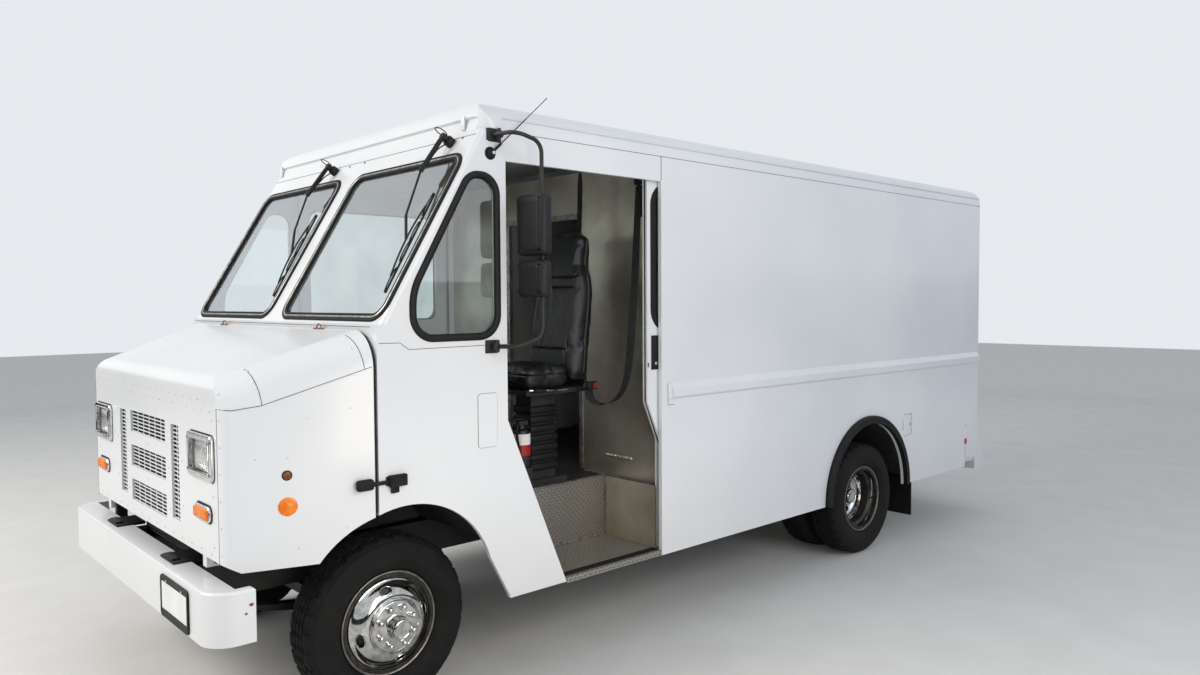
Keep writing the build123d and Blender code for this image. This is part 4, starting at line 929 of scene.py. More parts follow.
def makeGlazing():
    # two-part rubber with a locking strip round the windshield, one-piece bulb round the quarter windows
    look = {"overGlass": 0.012, "overMetal": 0.026, "proud": 0.0105, "lock": 0.0055, "bulb": 0.012,
            "bulbHalf": 0.016}
    pane = {"inner": 0.088, "outer": 1.010, "heights": (1.671, 2.338), "corner": 0.060}
    half = (look["overGlass"] + look["overMetal"]) / 2
    shift = half - look["overGlass"]
    sections = {
        "paneRubber": crossSection([(-half, -0.004), (-half, 0.003), (-half + 0.004, 0.0085),
                                    (-0.0085, look["proud"]), (-look["lock"], look["proud"] - 0.004)]),
        "lockingStrip": crossSection([(-0.0055, 0.004), (-0.0045, 0.0088), (-0.002, 0.0102)]),
    }
    low, high = [(z - slope["z"]) / math.cos(slopeAngle) for z in pane["heights"]]
    corners = (pane["inner"] - shift, low - shift), (pane["outer"] + shift, high + shift)
    loop = boxLoop(*corners, pane["corner"] + shift, steps=8)
    onWindshield = facePlace((0, atD(slope["foot"]), slope["z"]), (1, 0, 0), slopeUp, slopeOut)
    parts = []
    for name, finish in (("paneRubber", "rubber"), ("lockingStrip", "trimBright")):
        ring = paint(addRing(name, loop, sections[name], onWindshield), finish)
        parts += [ring, otherSide(ring, name + "Far")]
    outline = [(0.022, 1.588), (0.421, 1.588), (0.421, 2.254), (0.295, 2.254), (0.022, 1.767)]
    loop = roundedLoop(grownCorners(outline, 0.010), [0.095, 0.095, 0.080, 0.085, 0.240], steps=9)
    across, rise = look["bulbHalf"], look["bulb"]
    bulb = [(across * math.cos(math.pi * k / 8), rise * math.sin(math.pi * k / 8)) for k in range(9)]
    bulb = [(-across, -0.004)] + bulb[::-1] + [(across, -0.004)]
    ring = paint(addRing("quarterRubber", loop, bulb, facingLeft(van["halfWidth"])), "rubber")
    parts += [ring, otherSide(ring, "quarterRubberFar")]
    fit(joinAll("glazingRubbers", parts), "body", replaces=["cab_gaskets"])


makeGlazing()
print("glazing rubbers")


# hood

hoodPlan = {"rear": van["hoodRearD"], "front": van["hoodFrontD"], "shoulder": 0.150, "corner": 0.060}
hoodCorner = {"x": 0.8334, "d": -0.631}
hoodFace = atD(van["hoodFrontD"])
lampPlan = {"x": 0.685, "z": 1.150}


def hoodHalf(d):
    share = (hoodPlan["rear"] - d) / (hoodPlan["rear"] - hoodPlan["front"])
    return van["halfWidth"] - share * (van["halfWidth"] - van["hoodFrontHalf"])


def hoodTop(d):
    return van["hoodRearTop"] - van["hoodSlope"] * (hoodPlan["rear"] - d)


def onFlank(d, z):
    return Vector((hoodHalf(d), atD(d), z))


def onShoulder(d, degrees, proud=0.0):
    # a point on the hood's rolled edge: 0 degrees at the side, 90 on top
    reach = hoodPlan["shoulder"]
    turn = math.radians(degrees)
    x = hoodHalf(d) - reach + (reach + proud) * math.cos(turn)
    z = hoodTop(d) - reach + (reach + proud) * math.sin(turn)
    return (x, atD(d), z)


def onNose(degrees, z, proud=0.0):
    # a point on the hood's upright front corner: -18 degrees at the side, -90 at the face
    turn = math.radians(degrees)
    reach = hoodPlan["corner"] + proud
    return (hoodCorner["x"] + reach * math.cos(turn), atD(hoodCorner["d"] + reach * math.sin(turn)), z)


def makeHoodSeams():
    # lapped sheet joints of the riveted aluminium hood
    look = {"bead": 0.0013, "proud": 0.0003, "low": 0.760, "level": 1.341, "drop": 0.006,
            "arcs": (-0.560, -0.205)}
    proud = look["proud"]
    edge = [onShoulder(d, 4, proud) for d in (-0.170, -0.30, -0.42, -0.555)]
    turns = (-18, -30, -45, -60, -78)
    nose = [onNose(turn, look["level"] - look["drop"] * (90 + turn) / 72, proud) for turn in turns]
    parts = [seam("shoulderSeam", edge + nose, look["bead"])]
    for d in look["arcs"]:
        arc = [onShoulder(d + 0.008 - 0.018 * (turn - 4) / 72, turn, proud) for turn in range(4, 77, 6)]
        parts.append(seam("capSeam", arc, look["bead"]))
    parts.append(seam("faceSeam", [onNose(-78, z, proud) for z in (look["low"], look["level"])],
                      look["bead"]))
    fit(joinAll("hoodSeams", withOtherSide(parts)), "hood", "jointShadow")


def makeHoodRivets():
    # the face, corner and side rivet heads are greyer than the enamel: painted shade of the small domes
    look = {"head": 0.0048, "bright": 0.0062, "small": 0.0035, "corner": -66}
    spots = []
    for first, z in ((-790, 1.362), (-748, 1.326)):
        spots += [(x / 1000, z) for x in range(first, 800, 85)]
    for k in range(6):
        spots += [(0.80, 0.82 + 0.095 * k), (-0.80, 0.82 + 0.095 * k)]
    spots += [(-0.77 + 0.11 * k, 0.790) for k in range(15)]
    spots += [(-0.29, 1.20), (-0.29, 1.05), (-0.29, 0.88), (0.29, 1.20), (0.29, 1.05), (0.29, 0.88),
              (0.0, 1.116), (0.0, 0.960), (-0.46, 1.10), (0.46, 1.10), (-0.46, 0.92), (0.46, 0.92),
              (0.12, 1.27), (-0.12, 1.27)]
    rows = domeRow("faceRivets", [(x, hoodFace, z) for x, z in spots], (0, -1, 0), look["head"])
    rivets = [paint(rows, "rivetHead")]
    places = [onNose(look["corner"], 0.80 + 0.1 * k) for k in range(6)]
    places.append(onNose(look["corner"], 1.395, -0.004))
    turn = math.radians(look["corner"])
    row = paint(domeRow("cornerRivets", places, (math.cos(turn), math.sin(turn), 0), look["head"]),
                "rivetHead")
    rivets += [row, otherSide(row, "cornerRivetsFar")]
    for d in (-0.566, -0.226):
        for degrees in (42, 67):
            turn = math.radians(degrees)
            head = domeRow("capRivet", [onShoulder(d, degrees)], (math.cos(turn), 0, math.sin(turn)),
                           look["bright"])
            rivets += [paint(head, "chrome"), otherSide(head, "capRivetFar")]
    spots = ((-0.47, 1.145), (-0.25, 1.32), (-0.40, 1.29), (-0.58, 1.15), (-0.27, 0.86), (-0.44, 0.80))
    row = paint(domeRow("sideRivets", [onFlank(d, z) for d, z in spots], flankOut, look["small"]),
                "rivetHead")
    rivets += [row, otherSide(row, "sideRivetsFar")]
    fit(joinAll("hoodRivets", rivets), "hood")


def makeHoodPlugs():
    # brown rubber plug in its black ring on each flank
    look = {"d": -0.474, "z": 1.081, "sunk": 0.004}
    foot = onFlank(look["d"], look["z"])
    parts = []
    for name, finish, proud, radius, bevel in (("flankPlug", "rustedSteel", 0.003, 0.0155, 0.0015),
                                               ("flankPlugRing", "rubber", 0.0015, 0.0195, 0.001)):
        disc = addDrum(name, foot - flankOut * look["sunk"], foot + flankOut * proud, radius, sides=24,
                       bevel=bevel)
        parts.append(paint(disc, finish))
    fit(joinAll("flankPlugs", withOtherSide(parts)), "hood")


def makeLampLens(look, middle):
    # pressed glass: a crowned pane with upright flutes
    deselectAll()
    bpy.ops.mesh.primitive_grid_add(x_subdivisions=look["flutes"] * 4, y_subdivisions=10, size=1)
    lens = bpy.context.object
    lens.name = "lampLens"
    for vertex in lens.data.vertices:
        across, up = vertex.co.x, vertex.co.y
        flute = abs(math.sin(math.pi * look["flutes"] * (across + 0.5)))
        crown = (1 - (2 * across) ** 4) * (1 - (2 * up) ** 4)
        vertex.co.z = look["crown"] * crown + (look["ridge"] * flute if abs(up) < 0.42 else 0.0)
    lens.data.transform(Matrix.Diagonal((look["wide"] - 0.002, look["high"] - 0.002, 1, 1)))
    lens.data.transform(facePlace(middle, (1, 0, 0), (0, 0, 1), (0, -1, 0)))
    return withModifier(lens, "SOLIDIFY", thickness=0.003, offset=-1.0)


def makeHoodLamps():
    # rectangular sealed-beam lamps: chromed bowl, bulb shield, fluted pressed lens
    look = {"wide": 0.200, "high": 0.124, "front": -0.695, "back": -0.625, "flutes": 22, "crown": 0.009,
            "ridge": 0.0014}
    x, z, front = lampPlan["x"], lampPlan["z"], atD(look["front"])
    wide, high = look["wide"] / 2, look["high"] / 2
    bowl = addBox("lampBowl", (x - wide, front + 0.012, z - high), (x + wide, atD(look["back"]), z + high))
    pickFaces(bowl, lambda centre, normal: normal.y < -0.9)
    bpy.ops.mesh.inset(thickness=0.004)
    for depth, shrink in ((0.014, 0.94), (0.016, 0.84), (0.014, 0.7)):
        bpy.ops.mesh.extrude_region_move(TRANSFORM_OT_translate={"value": (0, depth, 0)})
        bpy.ops.transform.resize(value=(shrink, 1, shrink), center_override=(x, front, z))
    leaveEdit()
    shield = addDrum("bulbShield", (x, front + 0.02, z), (x, front + 0.056, z), 0.019, sides=24, bevel=0.004)
    lens = makeLampLens(look, (x, front + 0.008, z))
    parts = withOtherSide(paintAll((bowl, "chrome"), (shield, "chrome"), (lens, "lens")))
    fit(joinAll("headlampUnits", parts), "hood", replaces=["headlamps"])


def makeBezelDetails():
    # stepped rim and adjusting screws of the chromed plastic bezels
    look = {"face": -0.705, "rib": (0.108, 0.070, 0.016), "gasket": (0.1345, 0.088, 0.026),
            "screw": (0.118, 0.060)}
    x, z, face = lampPlan["x"], lampPlan["z"], atD(look["face"])
    rib = [(-0.003, -0.002), (-0.0025, 0.002), (0.0, 0.0032), (0.0025, 0.002), (0.003, -0.002)]
    parts = [paint(addRing("bezelRib", loopAround(x, z, *look["rib"]), rib, facingFront(face)), "chrome")]
    for across in (-look["screw"][0], look["screw"][0]):
        for up in (-look["screw"][1], look["screw"][1]):
            centre = Vector((x + across, face, z + up))
            start, end = centre + Vector((0, 0.002, 0)), centre - Vector((0, 0.0026, 0))
            screw = addDrum("bezelScrew", start, end, 0.0050, sides=16, bevel=0.001)
            # a dark box across each screw head: painted shade in its slot
            low = centre + Vector((-0.0038, -0.0029, -0.0006))
            high = centre + Vector((0.0038, -0.0024, 0.0006))
            parts += paintAll((screw, "zinc"), (addBox("bezelScrewSlot", low, high), "jointShadow"))
    # the thin dark ring round each bezel, in the rubber finish, is painted shade along the bezel's edge
    dark = crossSection([(-0.0022, -0.001), (-0.0022, 0.0012)])
    gasket = addRing("bezelGasket", loopAround(x, z, *look["gasket"]), dark, facingFront(hoodFace))
    parts.append(paint(gasket, "rubber"))
    fit(joinAll("bezelDetails", withOtherSide(parts)), "hood")


def makeFlankLamp():
    # round amber lamp on the hood's flank
    look = {"d": -0.473, "z": 0.963, "radius": 0.035}
    foot = onFlank(look["d"], look["z"])
    base = addDrum("flankLampBase", foot - flankOut * 0.004, foot + flankOut * 0.003, look["radius"],
                   sides=40, bevel=0.001)
    dome = spinProfile("flankLampLens", [
        (0.0, 0.0335), (0.003, 0.0335), (0.0048, 0.031), (0.0056, 0.025), (0.0050, 0.023), (0.0064, 0.018),
        (0.0062, 0.011), (0.0072, 0.008), (0.0074, 0.0)], 36)
    dome.data.transform(Matrix.Translation(foot) @ flankOut.to_track_quat("X", "Z").to_matrix().to_4x4())
    return paintAll((base, "amber"), (dome, "amber"))


def makeTurnLamps():
    look = {"x": 0.700, "z": 0.936, "wide": 0.165, "high": 0.062, "rim": 0.006, "lens": 0.009, "flutes": 7,
            "pitch": 0.020}
    face, place = hoodFace, facingFront(hoodFace)
    x, z, wide, high = look["x"], look["z"], look["wide"] / 2, look["high"] / 2
    loop = loopAround(x, z, wide - look["rim"], high - look["rim"], 0.022, steps=8)
    rim = [(-0.006, -0.001), (-0.006, 0.009), (-0.003, 0.012), (0.003, 0.012), (0.006, 0.008),
           (0.006, -0.001)]
    # the thin dark ring round the lamp, in the rubber finish, is painted shade along the lamp's edge
    outer = loopAround(x, z, wide + 0.001, high + 0.001, 0.028, steps=8)
    shadow = crossSection([(-0.0035, -0.001), (-0.0035, 0.003)])
    wide, high = wide - look["lens"], high - look["lens"]
    parts = paintAll(
        (addRing("turnRim", loop, rim, place), "chrome"),
        (addRing("turnGasket", outer, shadow, place), "rubber"),
        (addBox("turnLens", (x - wide, face - 0.020, z - high), (x + wide, face - 0.001, z + high), 0.0085,
                4),
         "amber"))
    for k in range(look["flutes"]):
        across = x - 0.060 + look["pitch"] * k
        run = [(across, face - 0.0198, z - 0.018), (across, face - 0.0198, z + 0.018)]
        parts.append(paint(addTube("turnFlute", run, 0.0012, smooth=False, fineness=1), "amber"))
    parts = withOtherSide(parts + makeFlankLamp())
    fit(joinAll("turnLamps", parts), "hood", replaces=["turn_signals"])


def makeHoodLatch():
    # moulded rubber pull with its strap and the catch on the cab
    x = van["halfWidth"]
    grip = placeBox("latchGrip", (x - 0.012, -0.246, 0.998), (x + 0.020, -0.176, 1.042), 0.012, 4)
    resizeFaces(grip, lambda centre, normal: centre.x > x + 0.012 and centre.y < atD(-0.200), (1, 1, 0.86),
                spot(x, -0.2, 1.020))
    start, end = spot(x + 0.016, -0.228, 1.020), spot(x + 0.0225, -0.228, 1.020)
    button = addDrum("latchButton", start, end, 0.012, sides=24, bevel=0.002)
    strap = placeBox("latchStrap", (x + 0.006, -0.182, 1.011), (x + 0.015, -0.169, 1.029), 0.003)
    pull = joinAll("hoodPull", [grip, button, strap])
    fitPair(pull, "hoodPullFar", ("hood", "hood"), "rubber", replaces=(["hood_latches"], ()))
    band = placeBox("catchBand", (x + 0.006, -0.172, 1.012), (x + 0.015, -0.100, 1.028), 0.003)
    block = placeBox("catchBlock", (x, -0.112, 0.998), (x + 0.024, -0.034, 1.045), 0.005, 3)
    insetFaces(block, lambda centre, normal: normal.x > 0.9, (0.008, -0.004))
    lever = placeBox("catchLever", (x + 0.004, -0.102, 0.972), (x + 0.014, -0.066, 1.004), 0.004)
    resizeFaces(lever, lambda centre, normal: normal.z < -0.9, (1, 0.45, 1), spot(x, -0.096, 0.972))
    foot = placeBox("catchFoot", (x - 0.001, -0.120, 1.003), (x + 0.003, -0.026, 1.040), 0.0015)
    bolts = domeRow("catchBolts", [spot(x + 0.0025, -0.030, z) for z in (1.030, 1.012)], (1, 0, 0), 0.004)
    catch = joinAll("hoodCatch", [band, block, lever, foot, bolts])
    fitPair(catch, "hoodCatchFar", ("body", "body"), "rubber", replaces=(["latch_catches"], ()))


def makeGrilleShadeSheet():
    # black sheet behind the pressed slots: painted shade standing in for the dark inside the hood
    shadeSheet = placeBox("grilleScreen", (-0.450, -0.655, 0.805), (0.450, -0.650, 1.270), 0.001, 1)
    fit(shadeSheet, "hood", "sheetBlack")


def makeHoodTopDetails():
    # lift-off hinges' eyes and the weatherstrip that closes the hood against the cab
    look = {"strip": -0.158, "bead": 0.0052, "wire": 0.0028}
    parts = []
    for x in (-0.500, 0.594):
        plate = placeBox("hoodEyePlate", (x - 0.045, -0.178, 1.6135), (x + 0.045, -0.1665, 1.6195), 0.001)
        bow = ((-0.022, -0.172, 1.619), (-0.016, -0.172, 1.632), (0, -0.174, 1.638), (0.016, -0.172, 1.632),
               (0.022, -0.172, 1.619))
        eye = addTube("hoodEye", [spot(x + across, d, z) for across, d, z in bow], look["wire"])
        parts += paintAll((plate, "rustedSteel"), (eye, "zinc"))
    fit(joinAll("hoodEyes", parts), "hood")
    run = [spot(van["halfWidth"] - 0.008, look["strip"], z) for z in (0.90, 1.15)]
    for turn in range(0, 91, 15):
        x, y, z = onShoulder(van["hoodRearD"], turn, -0.008)
        run.append(spot(x, look["strip"], z))
    run += [(-x, y, z) for x, y, z in reversed(run)]
    fit(addTube("hoodWeatherstrip", run, look["bead"], smooth=False, fineness=3), "body", "rubber")


makeHoodSeams()
makeHoodRivets()
makeHoodPlugs()
makeHoodLamps()
makeBezelDetails()
makeTurnLamps()
makeHoodLatch()
makeHoodTopDetails()
makeGrilleShadeSheet()
print("hood")


# front bumper


def makePlateFrame():
    # a blank plate in its moulded frame
    look = {"x": 0.620, "z": 0.588, "wide": 0.320, "high": 0.165, "face": -0.779, "inset": 0.010,
            "sheet": 0.006}
    face = atD(look["face"])
    x, z, wide, high = look["x"], look["z"], look["wide"] / 2, look["high"] / 2
    low, far = x - wide + look["inset"], x + wide - look["inset"]
    across, up = wide - look["sheet"], high - look["sheet"]
    loop = loopAround(x, z, wide - 0.007, high - 0.007, 0.012)
    section = crossSection([(-0.007, -0.001), (-0.007, 0.005), (-0.005, 0.0075)])
    screws = [(x + shift, face - 0.0065, z + 0.066) for shift in (-0.089, 0.089)]
    parts = paintAll(
        (addBox("plateBlank", (x - across, face - 0.005, z - up), (x + across, face - 0.001, z + up)),
         "plateWhite"),
        (addRing("plateFrame", loop, section, facingFront(face)), "abs"),
        (addBox("plateFrameFoot", (low, face - 0.0065, z - high + 0.010),
                (far, face - 0.002, z - high + 0.032)), "abs"),
        (addBox("plateFrameHead", (low, face - 0.0065, z + high - 0.024),
                (far, face - 0.002, z + high - 0.010)), "abs"),
        (domeRow("plateScrews", screws, (0, -1, 0), 0.006), "chrome"))
    fit(joinAll("plateAndFrame", parts), "body")


def makeHoodRests():
    # rubber rests on the bumper, clear of the swing of the hood's foot
    pads = []
    for x in (-0.40, 0.40):
        pads.append(placeBox("restPad", (x - 0.085, -0.742, 0.692), (x + 0.085, -0.620, 0.706), 0.004))
        pads.append(placeBox("restBlock", (x - 0.055, -0.740, 0.705), (x + 0.055, -0.706, 0.716), 0.003))
    pads.append(addTube("restBar", [spot(-0.32, -0.60, 0.690), spot(0.32, -0.60, 0.690)], 0.016,
                        smooth=False))
    fit(joinAll("hoodRests", pads), "body", "abs")


def makeBumperNicks():
    # small rusted chips, squashed to ovals
    nicks = []
    for place, out, size in ((spot(0.9853, -0.630, 0.640), (1, 0, 0), 0.006),
                             (spot(0.9853, -0.650, 0.610), (1, 0, 0), 0.004),
                             (spot(-0.596, -0.749, 0.4995), (0, 0, -1), 0.005)):
        nick = domeRow("bumperNick", [place], out, size)
        middle = nick.data.vertices[0].co.copy()
        squash = Matrix.Diagonal((0.3, 1.4, 1, 1))
        nick.data.transform(Matrix.Translation(middle) @ squash @ Matrix.Translation(-middle))
        nicks.append(nick)
    fit(joinAll("bumperNicks", nicks), "body", "rustedSteel")


makePlateFrame()
makeHoodRests()
makeBumperNicks()
print("front bumper")


# wipers, aerial and mirrors


def makeWiper(name, park):
    # a swept arm with its spring, blade and washer hose, each given by its height over the glass
    pivot, knee, rod = onSlope(*park["pivot"]), onSlope(*park["elbow"], 0.052), onSlope(*park["rod"], 0.046)
    top, low = onSlope(*park["top"], 0.018), onSlope(*park["low"], 0.018)
    middle = (top + low) / 2
    down = (low - top).normalized()

    def over(place, rise, x=0.0, up=0.0):
        return place + Vector((x, 0, 0)) + slopeUp * up + slopeOut * rise

    parts = [
        addDrum("pivotFoot", pivot, over(pivot, 0.030), 0.024, sides=28, bevel=0.003),
        addDrum("pivotPost", over(pivot, 0.028), over(pivot, 0.062), 0.016, sides=24, bevel=0.003),
    ]
    rods = {
        "armHead": (0.0105, [over(pivot, 0.052), over(pivot.lerp(knee, 0.5), 0.026), knee]),
        "armRod": (0.0048, [knee, rod]),
        "armTip": (0.0062, [rod, over(middle, 0.020)]),
        "armSpring": (0.0060, [over(pivot, 0.060, up=-0.02), over(knee, 0.006)]),
    }
    parts += [addTube(part, run, radius, smooth=False) for part, (radius, run) in rods.items()]
    bridge = [over(top + down * 0.07, 0.008), over(top.lerp(middle, 0.6), 0.017), over(middle, 0.020),
              over(middle.lerp(low, 0.4), 0.017), over(low - down * 0.07, 0.008)]
    parts.append(addTube("bladeBridge", bridge, 0.0042, fineness=2))
    for start, end in ((0.0, 0.24), (0.30, 0.50), (0.50, 0.70), (0.76, 1.0)):
        foot, tip = top.lerp(low, start), top.lerp(low, end)
        claw = [over(foot, 0.002), over((foot + tip) / 2, 0.010), over(tip, 0.002)]
        parts.append(addTube("bladeClaw", claw, 0.0030, fineness=2))
    parts.append(addTube("bladeRubber", [over(top, -0.004), over(low, -0.004)], 0.0046, smooth=False,
                         fineness=2))
    hose = [over(pivot, 0.008, -0.03), over(pivot, 0.026, -0.045, -0.035), over(pivot, 0.040, -0.020, -0.075),
            over(knee, 0.004, -0.006)]
    parts.append(addTube("washerHose", hose, 0.0030, fineness=2))
    ring = [over(pivot, 0.070 + 0.030 * math.sin(turn), 0.024 * math.cos(turn),
                 0.012) for turn in aroundCircle(16)]
    parts.append(addTube("hoseLoop", ring, 0.0024, closed=True, fineness=2))
    return joinAll(name, parts)


def makeAerial():
    foot, tip = Vector(spot(van["halfWidth"], 0.399, 2.360)), Vector(spot(1.0915, 0.680, 2.628))
    start = foot + Vector((0.018, 0.004, 0.006))
    profile = [(0.0, 0.022), (0.004, 0.022), (0.010, 0.018), (0.014, 0.011), (0.020, 0.010), (0.026, 0.0)]
    base = spinProfile("aerialBase", profile, 24)
    base.data.transform(Matrix.Translation(foot))

    def disc(name, low, high, radius, sides, bevel=0.0):
        return addDrum(name, foot + Vector((low, 0, 0)), foot + Vector((high, 0, 0)), radius, sides, bevel)

    def rod(name, low, high, radius):
        return addTube(name, [start.lerp(tip, low), start.lerp(tip, high)], radius, smooth=False)

    return paintAll(
        (base, "rubber"), (disc("aerialWasher", -0.001, 0.003, 0.028, 28, 0.001), "rubber"),
        (disc("aerialBolt", 0.018, 0.028, 0.0075, 6), "chrome"),
        (rod("aerialCollar", 0.0, 0.14, 0.0058), "abs"), (rod("aerialMast", 0.0, 0.6, 0.0026), "abs"),
        (rod("aerialWhip", 0.6, 1.0, 0.0018), "abs"))


def makeWipersAerial():
    parks = {
        "wiperNear": {"pivot": (0.864, 2.416), "elbow": (0.826, 2.262), "rod": (0.888, 2.066),
                      "top": (0.969, 2.171), "low": (0.983, 1.757)},
        "wiperFar": {"pivot": (-0.229, 2.411), "elbow": (-0.290, 2.257), "rod": (-0.212, 2.072),
                     "top": (-0.126, 2.162), "low": (-0.098, 1.750)},
    }
    parts = [paint(makeWiper(name, park), "abs") for name, park in parks.items()]
    spots = ((-0.218, 2.419), (-0.091, 2.426), (0.067, 2.428), (0.829, 2.439), (0.936, 2.433))
    screws = domeRow("slopeScrews", [onSlope(x, z, 0.001) for x, z in spots], slopeOut, 0.006)
    parts.append(paint(screws, "rustedSteel"))
    fit(joinAll("wipersAndAerial", parts + makeAerial()), "body",
        replaces=["wipers_aerial"])


def makeMirrorHead(name, low, high):
    # moulded housing: rounded shell, dished back, flat glass facing rearwards
    shell = placeBox(name, low, high, 0.024, 5)
    insetFaces(shell, lambda centre, normal: normal.y > 0.95, (0.006, 0), (0.002, -0.006))
    insetFaces(shell, lambda centre, normal: normal.y < -0.95, (0.020, 0.003))
    edge = 0.012
    glass = placeBox(name + "Glass", (low[0] + edge, high[1] - 0.008, low[2] + edge),
                     (high[0] - edge, high[1] - 0.004, high[2] - edge), 0.002)
    return paintAll((shell, "abs"), (glass, "mirrorGlass"))


def makeMirrors():
    look = {"x": 1.179, "d": 0.575, "clamps": (2.170, 2.120, 1.985, 1.935, 1.888, 1.765), "rearmost": 0.592}
    parts = makeMirrorHead("flatMirror", (1.083, 0.500, 1.923), (1.2735, 0.562, 2.184))
    parts += makeMirrorHead("convexMirror", (1.085, 0.500, 1.745), (1.2715, 0.562, 1.903))
    x, d = look["x"], look["d"]
    for z in look["clamps"]:
        clamp = placeBox("mirrorClamp", (x - 0.017, d - 0.017, z - 0.010), (x + 0.017, d + 0.015, z + 0.010),
                         0.003)
        bolt = addDrum("clampBolt", spot(x + 0.010, d - 0.010, z), spot(x + 0.024, d - 0.010, z), 0.0048,
                       sides=6)
        parts += paintAll((clamp, "chassisPaint"), (bolt, "rustedSteel"))
    heads = joinAll("mirrorHeadsLeft", parts)
    for vertex in heads.data.vertices:
        vertex.co.y = min(vertex.co.y, atD(look["rearmost"]))
    fitPair(heads, "mirrorHeadsRight", ("body", "body"),
            replaces=(["mirror_heads"], ()))
    parts = []
    for z, d in ((2.440, 0.428), (1.534, 0.402)):
        parts.append(placeBox("armPlate", (1.046, d - 0.040, z - 0.030), (1.0535, d + 0.028, z + 0.028),
                              0.004))
        parts.append(addDrum("armKnuckle", spot(1.052, d, z), spot(1.088, d, z), 0.017, sides=20,
                             bevel=0.003))
        parts.append(addDrum("armPin", spot(1.075, d, z - 0.026), spot(1.075, d, z + 0.026), 0.0075, sides=12,
                             bevel=0.001))
        bolts = [spot(1.0535, d - 0.028, z + 0.016), spot(1.0535, d + 0.016, z - 0.018)]
        parts.append(domeRow("armBolts", bolts, (1, 0, 0), 0.005))
    fitPair(joinAll("mirrorJointsLeft", parts), "mirrorJointsRight", ("body", "body"), "chassisPaint")


makeWipersAerial()
makeMirrors()
print("wipers, aerial, mirrors")


# sliding doors


def makeDoorFittings(side, d, node, body):
    # bulb rubber round the door's window, the cup handle and the rubber along the leading edge
    look = {"front": 0.524, "rear": 1.410, "low": 1.608, "high": 2.289, "radius": 0.075, "outer": 1.018,
            "over": 0.016}
    x, over = look["outer"], look["over"]
    corners = (look["front"] - over, look["low"] - over), (look["rear"] + over, look["high"] + over)
    loop = boxLoop(*corners, look["radius"] + over, steps=8)
    section = crossSection([(-0.024, -0.003), (-0.024, 0.0008), (-0.016, 0.0028)])
    cup = placeBox("doorCup", (x - 0.001, d + 0.488, 1.372), (x + 0.0048, d + 0.556, 1.548), 0.0022, 3)
    insetFaces(cup, lambda centre, normal: normal.x > 0.95, (0.010, -0.0015))
    edge = [spot(x - 0.016, d + along, z) for along, z in ((0.4615, 2.360), (0.4615, 1.212), (0.7905, 0.452))]
    keyEnds = spot(x + 0.001, d + 0.522, 1.404), spot(x + 0.0048, d + 0.522, 1.404)
    parts = paintAll(
        (addRing("doorRubber", loop, section, facingLeft(x, d)), "rubber"), (cup, "abs"),
        (addDrum("doorKey", *keyEnds, 0.009, sides=20, bevel=0.001), "chrome"),
        (placeBox("doorPaddle", (x + 0.001, d + 0.505, 1.430), (x + 0.0046, d + 0.540, 1.520), 0.0014),
         "abs"),
        (placeBox("doorLatchNib", (x - 0.006, d + 0.462, 1.385), (x + 0.001, d + 0.474, 1.410), 0.002),
         "zinc"),
        (addTube("doorEdgeRubber", edge, 0.0050, smooth=False), "rubber"))
    whole = joinAll("doorFittings" + body[13:].title(), parts)
    if side < 0:
        mirrored = otherSide(whole, whole.name + "Far")
        bpy.data.objects.remove(whole)
        whole = mirrored
    fit(whole, body, replaces=[node])


makeDoorFittings(1, 0.931, "door_left_fittings", "sliding_door_left")
makeDoorFittings(-1, 0.0, "door_right_fittings", "sliding_door_right")
print("door fittings")


# driver's place

seatPlan = {"x": 0.500, "half": 0.219, "swell": 0.024, "foot": 1.2770}


def stuff(piece, cap, voxel=0.0065, frames=20, calm=12):
    # foam under tight vinyl: the cover is blown up a little and held to a largest rise
    withModifier(piece, "REMESH", mode="VOXEL", voxel_size=voxel)
    rest = [vertex.co.copy() for vertex in piece.data.vertices]
    useOnly(piece)
    cover = piece.modifiers.new("cover", "CLOTH")
    cover.settings.use_pressure = True
    cover.settings.uniform_pressure_force = 4.0
    cover.settings.effector_weights.gravity = 0.0
    cover.settings.quality = 4
    scene = bpy.context.scene
    cover.point_cache.frame_start, cover.point_cache.frame_end = 1, frames
    for number in range(1, frames + 1):
        scene.frame_set(number)
    bpy.ops.object.modifier_apply(modifier=cover.name)
    scene.frame_set(1)
    for vertex, start in zip(piece.data.vertices, rest):
        rise = vertex.co - start
        if rise.length > cap:
            vertex.co = start + rise * (cap / rise.length)
    withModifier(piece, "SMOOTH", factor=0.5, iterations=calm)
    withModifier(piece, "SUBSURF", levels=1, render_levels=1)


def channel(distance, width):
    return math.exp(-(distance / width) ** 2)


def held(value, low, high):
    return min(max(value, low), high)


def pleats(across, pitch):
    return abs(math.cos(math.pi * across / pitch)) ** 8


